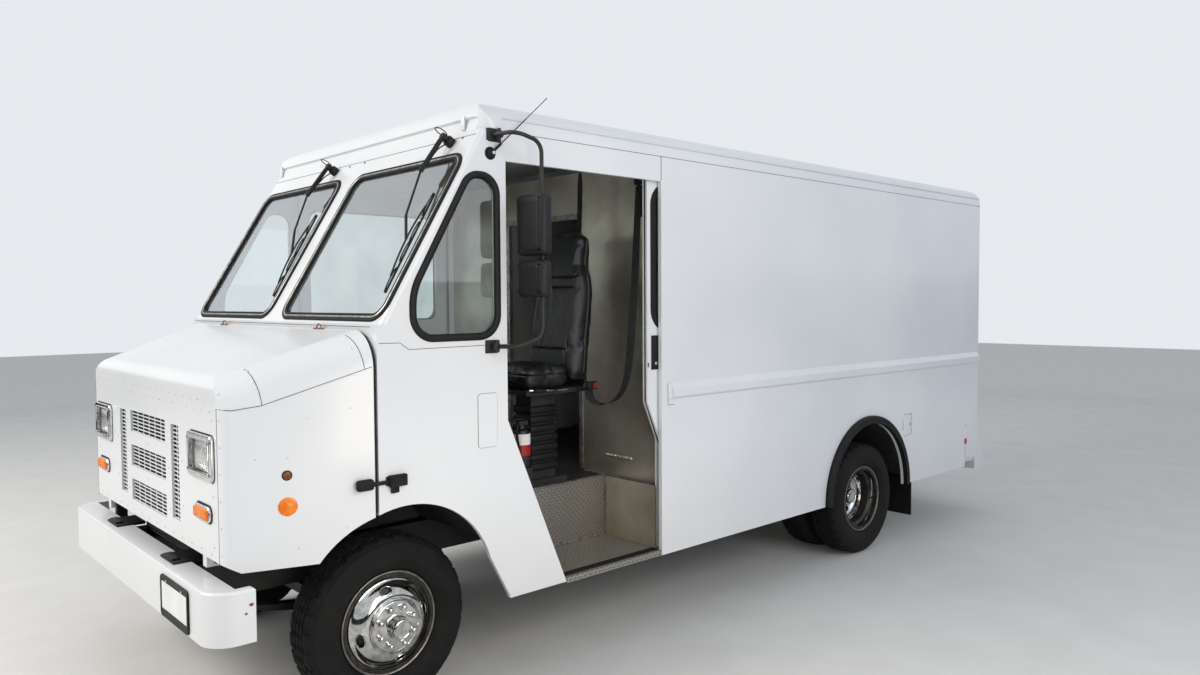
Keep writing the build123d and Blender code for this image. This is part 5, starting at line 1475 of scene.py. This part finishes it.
def makeCushion():
    # crowned cushion with a piped edge and pleats across its middle
    look = {"low": 1.290, "high": 1.392, "front": 0.852, "rear": 1.160, "half": 0.208, "corner": 0.062,
            "panel": 0.125, "panelDeep": 0.120, "panelD": 1.02, "pleat": 0.025}
    x = seatPlan["x"]
    loop = boxLoop((x - look["half"], atD(look["front"])), (x + look["half"], atD(look["rear"])),
                   look["corner"], steps=8)
    middle = Matrix.Translation((0, 0, (look["low"] + look["high"]) / 2))
    cushion = addSlab("seatCushion", loop, look["high"] - look["low"] - 0.006, 0.030, middle)
    stuff(cushion, seatPlan["swell"])
    for vertex in cushion.data.vertices:
        place = vertex.co
        place.z = held(place.z, 1.2756, 1.4035)
        place.x = held(place.x, x - seatPlan["half"], x + seatPlan["half"])
        place.y = held(place.y, atD(0.841), atD(1.185))
        inward = channel(place.z - 1.355, 0.0035) * 0.005
        place.x += -inward if place.x > x else inward
        place.y += inward if place.y < atD(1.05) else -inward
        if place.z > 1.38:
            across = abs(place.x - x) - look["panel"]
            along = abs(place.y - atD(look["panelD"])) - look["panelDeep"]
            place.z -= 0.006 * channel(max(across, along), 0.005)
            if across < 0 and along < 0:
                place.z -= 0.0040 * pleats(place.x - x, look["pleat"])
    return cushion


def makeSeatBack():
    # bolstered high back with upright pleats between its cross seams
    look = {"thick": 0.118, "edge": 0.034, "root": 1.40, "tall": 0.72, "panel": 0.138, "pleat": 0.024,
            "levels": (1.475, 1.80, 1.855)}
    x = seatPlan["x"]
    outline = [(0.180, 1.302), (0.204, 1.345), (0.211, 1.62), (0.207, 1.78), (0.188, 1.860), (0.156, 1.930),
               (0.148, 2.02), (0.130, 2.080), (0.080, 2.106)]
    loop = [(x + across, up) for across, up in outline]
    loop += [(x - across, up) for across, up in reversed(outline)]
    back = addSlab("seatBack", roundedLoop(loop, 0.018, steps=3), look["thick"], look["edge"], facingFront(0))
    for vertex in back.data.vertices:
        rise = (vertex.co.z - look["root"]) / look["tall"]
        vertex.co.y = vertex.co.y * (1.0 - 0.30 * max(0.0, rise)) + atD(1.232 + 0.092 * rise)
    stuff(back, seatPlan["swell"])
    for vertex in back.data.vertices:
        place = vertex.co
        rise = (place.z - look["root"]) / look["tall"]
        place.y = held(place.y, atD(1.146 + 0.135 * rise), atD(1.3785))
        if place.z < 1.464 and abs(place.x - x) < 0.134 and place.y > atD(1.255):
            place.y = min(place.y, atD(1.2995))
        place.z = held(place.z, seatPlan["foot"], 2.1190)
        place.x = held(place.x, x - seatPlan["half"], x + seatPlan["half"])
        off = abs(place.x - x)
        if place.y < atD(1.215 + 0.105 * rise):
            edge = channel(off - look["panel"], 0.005) if 1.46 < place.z < 1.87 else 0.0
            cross = max(channel(place.z - level,
                                0.005) for level in look["levels"]) if off < look["panel"] else 0.0
            pleat = pleats(place.x - x, look["pleat"]) if off < 0.132 and 1.482 < place.z < 1.795 else 0.0
            place.y += max(0.0085 * edge, 0.008 * cross, 0.006 * pleat)
        side = channel(place.y - atD(1.232 + 0.092 * rise) - 0.012, 0.004)
        place.x += (-0.005 if place.x > x else 0.005) * side * (1.0 if abs(place.x - x) > 0.12 else 0.0)
    return back


def makeSeat():
    # high-back driver's seat in black vinyl
    for piece in (makeCushion(), makeSeatBack()):
        fit(piece, "body", "vinyl", smooth=60, replaces=["driver_seat"])


def addWebbing(name, points, wide, thick=0.0013):
    # a flat ribbon through (place, across) points that keeps its width across the run
    verts, faces = [], []
    for k, (place, across) in enumerate(points):
        here, across = Vector(place), Vector(across)
        run = (Vector(points[min(k + 1, len(points) - 1)][0]) - Vector(points[max(k - 1, 0)][0])).normalized()
        broad = (across - run * across.dot(run)).normalized() * (wide / 2)
        verts += [tuple(here - broad), tuple(here + broad)]
        if k:
            faces.append((2 * k - 2, 2 * k - 1, 2 * k + 1, 2 * k))
    mesh = bpy.data.meshes.new(name)
    mesh.from_pydata(verts, [], faces)
    piece = addObject(name, mesh)
    withModifier(piece, "SUBSURF", levels=2, render_levels=2)
    return withModifier(piece, "SOLIDIFY", thickness=thick, offset=0.0)


def makeBelt():
    # lap and shoulder belt: guide high on the pillar, covered retractor, webbing, free loop and buckle
    look = {"x": 0.905, "tetherX": 0.500, "wide": 0.046, "tether": 0.040}
    x = look["x"]
    cover = placeBox("retractorCover", (x - 0.035, 1.452, 2.165), (x + 0.040, 1.520, 2.330), 0.012, 3)
    resizeFaces(cover, lambda centre, normal: normal.z < -0.9, (0.7, 0.8, 1), spot(x, 1.50, 2.165))
    path = [
        (0, 1.447, 2.345, (1, 0, 0)), (0, 1.440, 2.20, (1, 0, 0)), (0, 1.42, 1.90, (1, 0.2, 0)),
        (0, 1.395, 1.60, (1, 0.3, 0)), (0, 1.370, 1.367, (1, 0.2, 0)), (-0.004, 1.340, 1.272, (1, 0, 0.1)),
        (-0.02, 1.300, 1.215, (1, 0.1, 0.2)), (-0.05, 1.250, 1.190, (0.8, 0.4, 0.2)),
        (-0.10, 1.205, 1.200, (0.5, 0.8, 0)), (-0.145, 1.215, 1.245, (0.3, 0.9, 0.3)),
        (-0.175, 1.250, 1.270, (0.2, 0.9, 0)),
    ]
    upper = [(spot(x + shift, d, z), across) for shift, d, z, across in path]
    tether = [(spot(look["tetherX"], d, z), (1, 0, 0)) for d,
              z in ((1.400, 2.44), (1.398, 2.30), (1.392, 2.16), (1.384, 2.06))]
    parts = paintAll(
        (cover, "abs"),
        (placeBox("guideLoop", (x - 0.030, 1.440, 2.330), (x + 0.030, 1.456, 2.372), 0.007, 3), "abs"),
        (placeBox("beltAnchor", (x - 0.020, 1.480, 2.340), (x + 0.020, 1.5345, 2.380), 0.004),
         "chassisPaint"),
        (addWebbing("beltUpper", upper, look["wide"]), "webbing"),
        (placeBox("beltBuckle", (0.722, 1.228, 1.262), (0.752, 1.290, 1.306), 0.008, 3), "abs"),
        (placeBox("beltTongue", (0.7225, 1.215, 1.276), (0.728, 1.240, 1.296), 0.001, 1), "chrome"),
        (placeBox("beltButton", (0.7505, 1.262, 1.270), (0.7530, 1.284, 1.298), 0.001), "extinguisherRed"),
        (addWebbing("topTether", tether, look["tether"]), "webbing"))
    fit(joinAll("seatBelt", parts), "body")


def makeSeatSlide():
    # slide rails, lever and the gaiter of the seat's pedestal
    look = {"folds": 7, "foldLow": 0.86, "pitch": 0.050, "foldHalf": 0.022}
    parts = []
    for x in (0.335, 0.655):
        rail = placeBox("slideRail", (x - 0.014, 0.884, 1.2510), (x + 0.014, 1.300, 1.2740), 0.003)
        parts.append(paint(rail, "darkSteel"))
    lever = [spot(0.672, 1.150, 1.268), spot(0.690, 1.02, 1.272), spot(0.690, 0.92, 1.276),
             spot(0.672, 0.895, 1.278)]
    grip = [spot(0.690, 0.99, 1.2735), spot(0.690, 0.91, 1.2765)]
    parts += paintAll((addTube("slideLever", lever, 0.0058), "chrome"),
                      (addTube("slideGrip", grip, 0.0095, smooth=False), "abs"))
    for k in range(look["folds"]):
        z = look["foldLow"] + look["pitch"] * k
        fold = placeBox("gaiterFold", (0.418, 0.975, z - look["foldHalf"]),
                        (0.582, 1.165, z + look["foldHalf"]), 0.018, 3)
        parts.append(paint(fold, "rubber"))
    return parts


def makeExtinguisher():
    # small extinguisher with blank labels, strapped to the pedestal's front
    look = {"x": 0.600, "d": 0.900}
    x = look["x"]

    def turned(name, profile, z, closed=True):
        piece = spinProfile(name, profile, 32, closed=closed)
        upright = Matrix.Rotation(-math.pi / 2, 4, "Y")
        piece.data.transform(Matrix.Translation(spot(x, look["d"], z)) @ upright)
        return piece

    shell = [(0.0, 0.0), (0.0, 0.036), (0.008, 0.044), (0.165, 0.044), (0.190, 0.034), (0.200, 0.018),
             (0.216, 0.016), (0.216, 0.0)]
    label = [(0.0, 0.0446), (0.0, 0.0452), (0.055, 0.0452), (0.055, 0.0446)]
    band = [(0.0, 0.0448), (0.0, 0.0470), (0.014, 0.0470), (0.014, 0.0448)]
    handle = [spot(x, d, z) for d, z in ((0.930, 1.118), (0.880, 1.132), (0.845, 1.126))]
    hose = [spot(x, 0.875, 1.105), spot(0.622, 0.850, 1.06), spot(0.640, 0.856, 0.98),
            spot(0.634, 0.862, 0.91)]
    return paintAll(
        (turned("extinguisherBottle", shell, 0.880, closed=False), "sheetBlack"),
        (turned("extinguisherBlankLabel", label, 1.000), "plateWhite"),
        (turned("extinguisherBlankBand", label, 0.945), "extinguisherRed"),
        (placeBox("extinguisherHead", (0.586, 0.872, 1.094), (0.614, 0.935, 1.118), 0.005), "darkSteel"),
        (addTube("extinguisherHandle", handle, 0.006), "abs"),
        (addTube("extinguisherHose", hose, 0.0065), "rubber"),
        (placeBox("extinguisherBracket", (0.548, 0.882, 0.880), (0.556, 0.918, 1.060), 0.002, 1),
         "chassisPaint"),
        (turned("extinguisherBand", band, 0.925), "darkSteel"),
        (placeBox("extinguisherFoot", (0.548, 0.860, 0.756), (0.640, 0.940, 0.880), 0.004), "chassisPaint"))


def makeDriverPlace():
    fit(joinAll("driverPlaceDetails", makeSeatSlide() + makeExtinguisher()), "body")


def makeBulkheadDetails():
    # louvres, rivet rows and the bright trim round the aisle
    look = {"d": 1.535, "louvres": 7, "firstX": 0.565, "pitch": 0.030, "z": 0.863}
    d, face = look["d"], atD(look["d"])
    parts = []
    for k in range(look["louvres"]):
        x, z = look["firstX"] + look["pitch"] * k, look["z"]
        vent = addDrum("louvre", (x - 0.013, face - 0.001, z), (x + 0.013, face - 0.001, z), 0.0075, sides=12,
                       bevel=0.002)
        # a dark strip in each louvre's mouth: painted shade under the louvre
        mouthShade = placeBox("louvreMouth", (x - 0.011, d - 0.0078, 0.8545), (x + 0.011, d - 0.001, 0.8575),
                         0.0004, 1)
        parts += paintAll((vent, "mill"), (mouthShade, "jointShadow"))
    for x in (-0.9, -0.36, 0.36, 0.9):
        row = domeRow("bulkheadRivets", [(x, face, z / 100) for z in range(84, 240, 12)], (0, -1, 0), 0.0042)
        parts.append(paint(row, "zinc"))
    for x in (-0.345, 0.345):
        trim = placeBox("aisleTrim", (x - 0.016, d - 0.003, 0.757), (x + 0.016, d + 0.001, 2.216), 0.001, 1)
        parts.append(paint(trim, "trimBright"))
    header = placeBox("aisleHeader", (-0.361, d - 0.003, 2.200), (0.361, d + 0.001, 2.232), 0.001, 1)
    fit(joinAll("bulkheadDetails", parts + [paint(header, "trimBright")]), "body")


def makeStepTrim():
    # bright edgings and a ribbed sill strip in both step wells
    look = {"ribs": 5, "ribX": 0.979, "pitch": 0.009, "rib": 0.004}
    strips = [
        ("stepNosing", "trimBright", (0.574, 0.500, 0.7555), (0.604, 1.492, 0.7610), 0.001),
        ("sillStrip", "sheetBlack", (0.975, 0.806, 0.4265), (1.024, 1.464, 0.4330), 0.001),
        ("riserTrimFoot", "trimBright", (0.5895, 0.70, 0.4245), (0.5935, 1.490, 0.4400), 0.001),
        ("rearWallTrim", "trimBright", (0.590, 1.4875, 0.4245), (0.606, 1.4915, 0.7540), 0.001),
        ("deckStrip", "trimBright", (0.400, 1.500, 0.7550), (0.940, 1.534, 0.7585), 0.001),
    ]
    for k in range(look["ribs"]):
        x = look["ribX"] + look["pitch"] * k
        strips.append(("sillRib", "rubber", (x, 0.806, 0.4330), (x + look["rib"], 1.464, 0.4345), 0.0005))
    parts = []
    for side in (1, -1):
        for name, finish, low, high, bevel in strips:
            parts.append(paint(placeBox(name, low, high, bevel, 1, side), finish))
    fit(joinAll("stepTrim", parts), "body")


def makeStepEnds():
    parts = []
    for side in (1, -1):
        parts.append(placeBox("stepEndLiner", (0.5895, 1.4885, 0.4250), (0.9700, 1.4915, 0.7540), 0.0005, 1,
                              side))
        rivets = [spot(side * x, 1.4885, 0.735) for x in (0.62, 0.78, 0.94)]
        parts.append(domeRow("stepEndRivets", rivets, (0, -1, 0), 0.004))
    fit(joinAll("stepEndLiners", parts), "body", "mill")


def makeSteeringWheel():
    # stitched rim, hub and horn button over the plain wheel, on the same axis
    look = {"foot": (0.500, 0.150, 1.295), "centre": (0.500, 0.388, 1.457), "radius": 0.205, "grip": 0.0148,
            "beads": 40}
    foot, centre = Vector(spot(*look["foot"])), Vector(spot(*look["centre"]))
    axis, across = (centre - foot).normalized(), Vector((1, 0, 0))

    def onRim(turn, up):
        return (look["radius"] * math.cos(turn), look["radius"] * math.sin(turn), up)

    parts = [
        addTube("wheelRim", [onRim(turn, 0) for turn in aroundCircle(48)], look["grip"], closed=True,
                steps=2),
        addDrum("wheelHub", (0, 0, -0.014), (0, 0, 0.020), 0.052, sides=36, bevel=0.006),
        addDrum("hornButton", (0, 0, 0.018), (0, 0, 0.027), 0.034, sides=32, bevel=0.005),
    ]
    for turn in aroundCircle(look["beads"]):
        parts.append(addDrum("gripBead", onRim(turn, -look["grip"]), onRim(turn, 0.0150), 0.0068, sides=8))
    whole = joinAll("steeringWheelGrip", parts)
    whole.data.transform(facePlace(centre, across, axis.cross(across), axis))
    fit(whole, "body", "abs")


def makeDashDetails():
    # instrument hood, gauges with blank faces and the pedals
    look = {"gauges": (0.405, 0.500, 0.595), "gaugeZ": 1.592, "pedals": (0.520, 0.430)}
    parts = [paint(placeBox("gaugeHood", (0.330, 0.090, 1.545), (0.670, 0.205, 1.640), 0.020, 4), "abs")]
    for x in look["gauges"]:
        z = look["gaugeZ"]
        ring = addDrum("gaugeRing", spot(x, 0.200, z), spot(x, 0.210, z), 0.038, sides=32, bevel=0.002)
        dial = addDrum("gaugeFace", spot(x, 0.208, z), spot(x, 0.2112, z), 0.033, sides=32)
        parts += paintAll((ring, "chrome"), (dial, "sheetBlack"))
    for x in look["pedals"]:
        pad = placeBox("pedalPad", (x - 0.035, 0.085, 0.850), (x + 0.035, 0.105, 0.930), 0.006)
        stem = addTube("pedalStem", [spot(x, 0.085, 0.900), spot(x, 0.010, 1.060), spot(x, -0.060, 1.190)],
                       0.008)
        parts += paintAll((pad, "rubber"), (stem, "darkSteel"))
    fit(joinAll("dashDetails", parts), "body")


makeSeat()
print("seat")
makeBelt()
makeDriverPlace()
makeBulkheadDetails()
makeStepTrim()
makeStepEnds()
makeSteeringWheel()
makeDashDetails()
print("cab")


# body panels


def makeBodySeams():
    # dirty sealed joints and lap lines of the aluminium body
    look = {"bead": 0.0013, "fine": 0.0012, "wide": 0.0018, "roof": 2.4605, "proud": 0.0002}
    x, z, bead = van["halfWidth"] + look["proud"], look["roof"], look["bead"]
    foot = slope["foot"] + (z - slope["z"]) * slope["rake"]
    lines = [
        ("roofSeam", bead, [(foot + 0.02, z), (5.172, z)]),
        ("cowlSeam", bead, [(-0.140, 1.566), (-0.048, 1.565), (-0.008, 1.537), (0.336, 1.540),
                            (0.478, 1.540)]),
        ("headerJoint", look["wide"], [(1.465, 2.340), (1.465, 2.460)]),
        ("mouldingSeam", bead, [(1.514, 1.184), (1.560, 1.184)]),
        ("mouldingEnd", bead, [(1.514, 1.184), (1.514, 1.212)]),
        ("skirtSeam", bead, [(4.962, 0.470), (4.962, 0.560)]),
    ]
    hatch = boxLoop((0.3215, 1.0995), (0.4225, 1.3325), 0.0145, steps=4)
    parts = []
    for side in (1, -1):
        for name, radius, points in lines:
            parts.append(seam(name, [spot(side * x, d, up) for d, up in points], radius))
        outline = [spot(side * (x + look["proud"]), d, up) for d, up in hatch]
        parts.append(seam("hatchSeam", outline, look["fine"], closed=True))
    parts.append(seam("headerSeam", [onSlope(across, 2.438, look["proud"]) for across in (-1.030, 1.030)],
                      bead))
    parts.append(seam("cowlLip", [spot(across, -0.1505, 1.630) for across in (-1.0, 1.0)], look["fine"]))
    fit(joinAll("bodySeams", parts), "body", "jointShadow")


def makeRoofDetails():
    # rolled gutter edge and the roof cap's clips
    look = {"x": 1.0455, "z": 2.520, "bead": 0.0030, "clips": (-0.985, 0.915)}
    parts = []
    for side in (1, -1):
        run = [spot(side * look["x"], d, look["z"]) for d in (0.47, 5.170)]
        parts.append(addTube("roofGutter", run, look["bead"], smooth=False))
    for x in look["clips"]:
        parts.append(placeBox("capClip", (x - 0.012, 0.3465, 2.470), (x + 0.012, 0.356, 2.530), 0.003))
    fit(joinAll("roofEdging", parts), "body", "enamel")


def makeSideDetails():
    # moulding end caps, reflectors, small fixings and the tail lamps
    look = {"reflectorD": 4.960, "reflectorZ": 0.605}
    x, d, z = van["halfWidth"], look["reflectorD"], look["reflectorZ"]
    parts = []
    for side in (1, -1):
        start = spot(side * x, d, z)
        parts += paintAll(
            (placeBox("mouldingCap", (x, 1.508, 1.214), (x + 0.014, 1.538, 1.300), 0.006, 3, side), "enamel"),
            (addDrum("rearReflector", start, spot(side * (x + 0.0055), d, z), 0.024, sides=32, bevel=0.0015),
             "red"),
            (addDrum("rearReflectorRim", start, spot(side * (x + 0.004), d, z), 0.030, sides=32,
                     bevel=0.0015), "enamel"),
            (domeRow("skirtPlug", [spot(side * x, 4.971, 0.727)], (side, 0, 0), 0.006), "rustedSteel"),
            (placeBox("tailLamp", (0.936, 5.176, 0.566), (1.014, 5.1945, 0.714), 0.006, 3, side), "red"),
            (placeBox("tailLampRim", (0.930, 5.172, 0.560), (1.020, 5.186, 0.720), 0.004, 2, side), "abs"),
            (placeBox("reverseLens", (0.942, 5.180, 0.572), (1.008, 5.1952, 0.606), 0.003, 2, side),
             "plateWhite"))
    fit(joinAll("sideAndTailDetails", parts), "body", replaces=["body_lamps"])


def makeFillerFlap():
    look = {"d": 4.037, "z": 0.828}
    d, z = look["d"], look["z"]
    parts = paintAll(
        (placeBox("fillerFlap", (1.0365, d - 0.062, z - 0.074), (1.0425, d + 0.062, z + 0.074), 0.010, 3),
         "enamel"),
        (addDrum("fillerHinge", spot(1.0415, d - 0.058, z - 0.040), spot(1.0415, d - 0.058, z + 0.040), 0.004,
                 sides=12), "zinc"),
        (addDrum("fillerLock", spot(1.0425, d + 0.040, z), spot(1.0465, d + 0.040, z), 0.010, sides=20,
                 bevel=0.001), "chrome"))
    fit(joinAll("fillerFlapUnit", parts), "body")


def makeFlareLip():
    # rolled rubber lip and screws along the outer edge of the rear arches
    look = {"d": 3.511, "z": 0.415, "lip": 0.482, "screws": 0.506}

    def onArch(x, radius, degrees):
        turn = math.radians(degrees)
        return (x, atD(look["d"]) + radius * math.cos(turn), look["z"] + radius * math.sin(turn))

    parts = []
    for side in (1, -1):
        lip = [onArch(side * 1.0745, look["lip"], 1 + 178 * k / 32) for k in range(33)]
        parts.append(addTube("flareLip", lip, 0.0055, smooth=False, fineness=3))
        screws = [onArch(side * 1.0780, look["screws"], 14 + 19 * k) for k in range(9)]
        parts.append(domeRow("flareScrews", screws, (side, 0, 0), 0.0055))
    fit(joinAll("flareLips", parts), "body", "rubber")


def makeLockBar(rear):
    # the locking bar in its guides and the handle that turns it
    parts = [paint(addTube("lockBar", [(0.060, rear + 0.016, 0.800), (0.060, rear + 0.016, 2.262)], 0.0085,
                           smooth=False), "zinc")]
    for z in (0.86, 1.30, 1.75, 2.20):
        parts.append(paint(addBox("barGuide", (0.038, rear - 0.001, z - 0.020),
                                  (0.082, rear + 0.026, z + 0.020), 0.004), "zinc"))
    handle = addBox("rearHandle", (0.052, rear + 0.020, 1.240), (0.215, rear + 0.034, 1.266), 0.005, 3)
    hub = addDrum("rearHandleHub", (0.066, rear, 1.253), (0.066, rear + 0.036, 1.253), 0.022, sides=28,
                  bevel=0.003)
    return parts + paintAll((handle, "chrome"), (hub, "chrome"))


def makeRearDoorDetails():
    # window and door rubbers, locking bar and strap bolts, after other vans of this type
    look = {"pane": (0.247, 0.287, 0.056), "paneX": 0.450, "paneZ": 1.850, "straps": (0.960, 1.530, 2.100),
            "edge": 0.004}
    rear = atD(van["bodyEndD"])
    section = crossSection([(-0.016, -0.003), (-0.016, 0.004), (-0.010, 0.009)])
    for side, body in ((1, "rear_door_left"), (-1, "rear_door_right")):
        loop = loopAround(-side * look["paneX"], look["paneZ"], *look["pane"], steps=7)
        parts = [paint(addRing("rearPaneRubber", loop, section, facingRear(rear)), "rubber")]
        if side > 0:
            parts += makeLockBar(rear)
        for z in look["straps"]:
            bolts = [(side * x, rear + 0.006, z + up) for x in (0.800, 0.850) for up in (-0.022, 0.022)]
            parts.append(paint(domeRow("strapBolts", bolts, (0, 1, 0), 0.0055), "zinc"))
        low, high = sorted((side * 0.0035, side * 0.8935))
        low, high = low + look["edge"], high - look["edge"]
        corners = ((low, 0.7735), (high, 0.7735), (high, 2.2895), (low, 2.2895))
        edge = [(x, rear + 0.0005, z) for x, z in corners]
        parts.append(paint(seam("rearDoorRubber", edge, 0.0030, closed=True), "rubber"))
        fit(joinAll("rearDoorDetails" + body[10:].title(), parts), body)


def makeRearStep():
    # bolts of the plate panel and the step's tread pad
    bolts = [spot(-0.650 + shift, van["bodyEndD"], 0.735) for shift in (-0.0889, 0.0889)]
    pad = placeBox("stepPad", (-0.96, 5.222, 0.4903), (0.96, 5.368, 0.4935), 0.001, 1)
    parts = paintAll((domeRow("plateBolts", bolts, (0, 1, 0), 0.006), "zinc"), (pad, "tread"))
    fit(joinAll("rearStepPad", parts), "body")


makeBodySeams()
makeRoofDetails()
makeSideDetails()
makeFillerFlap()
makeFlareLip()
makeRearDoorDetails()
makeRearStep()
print("body")
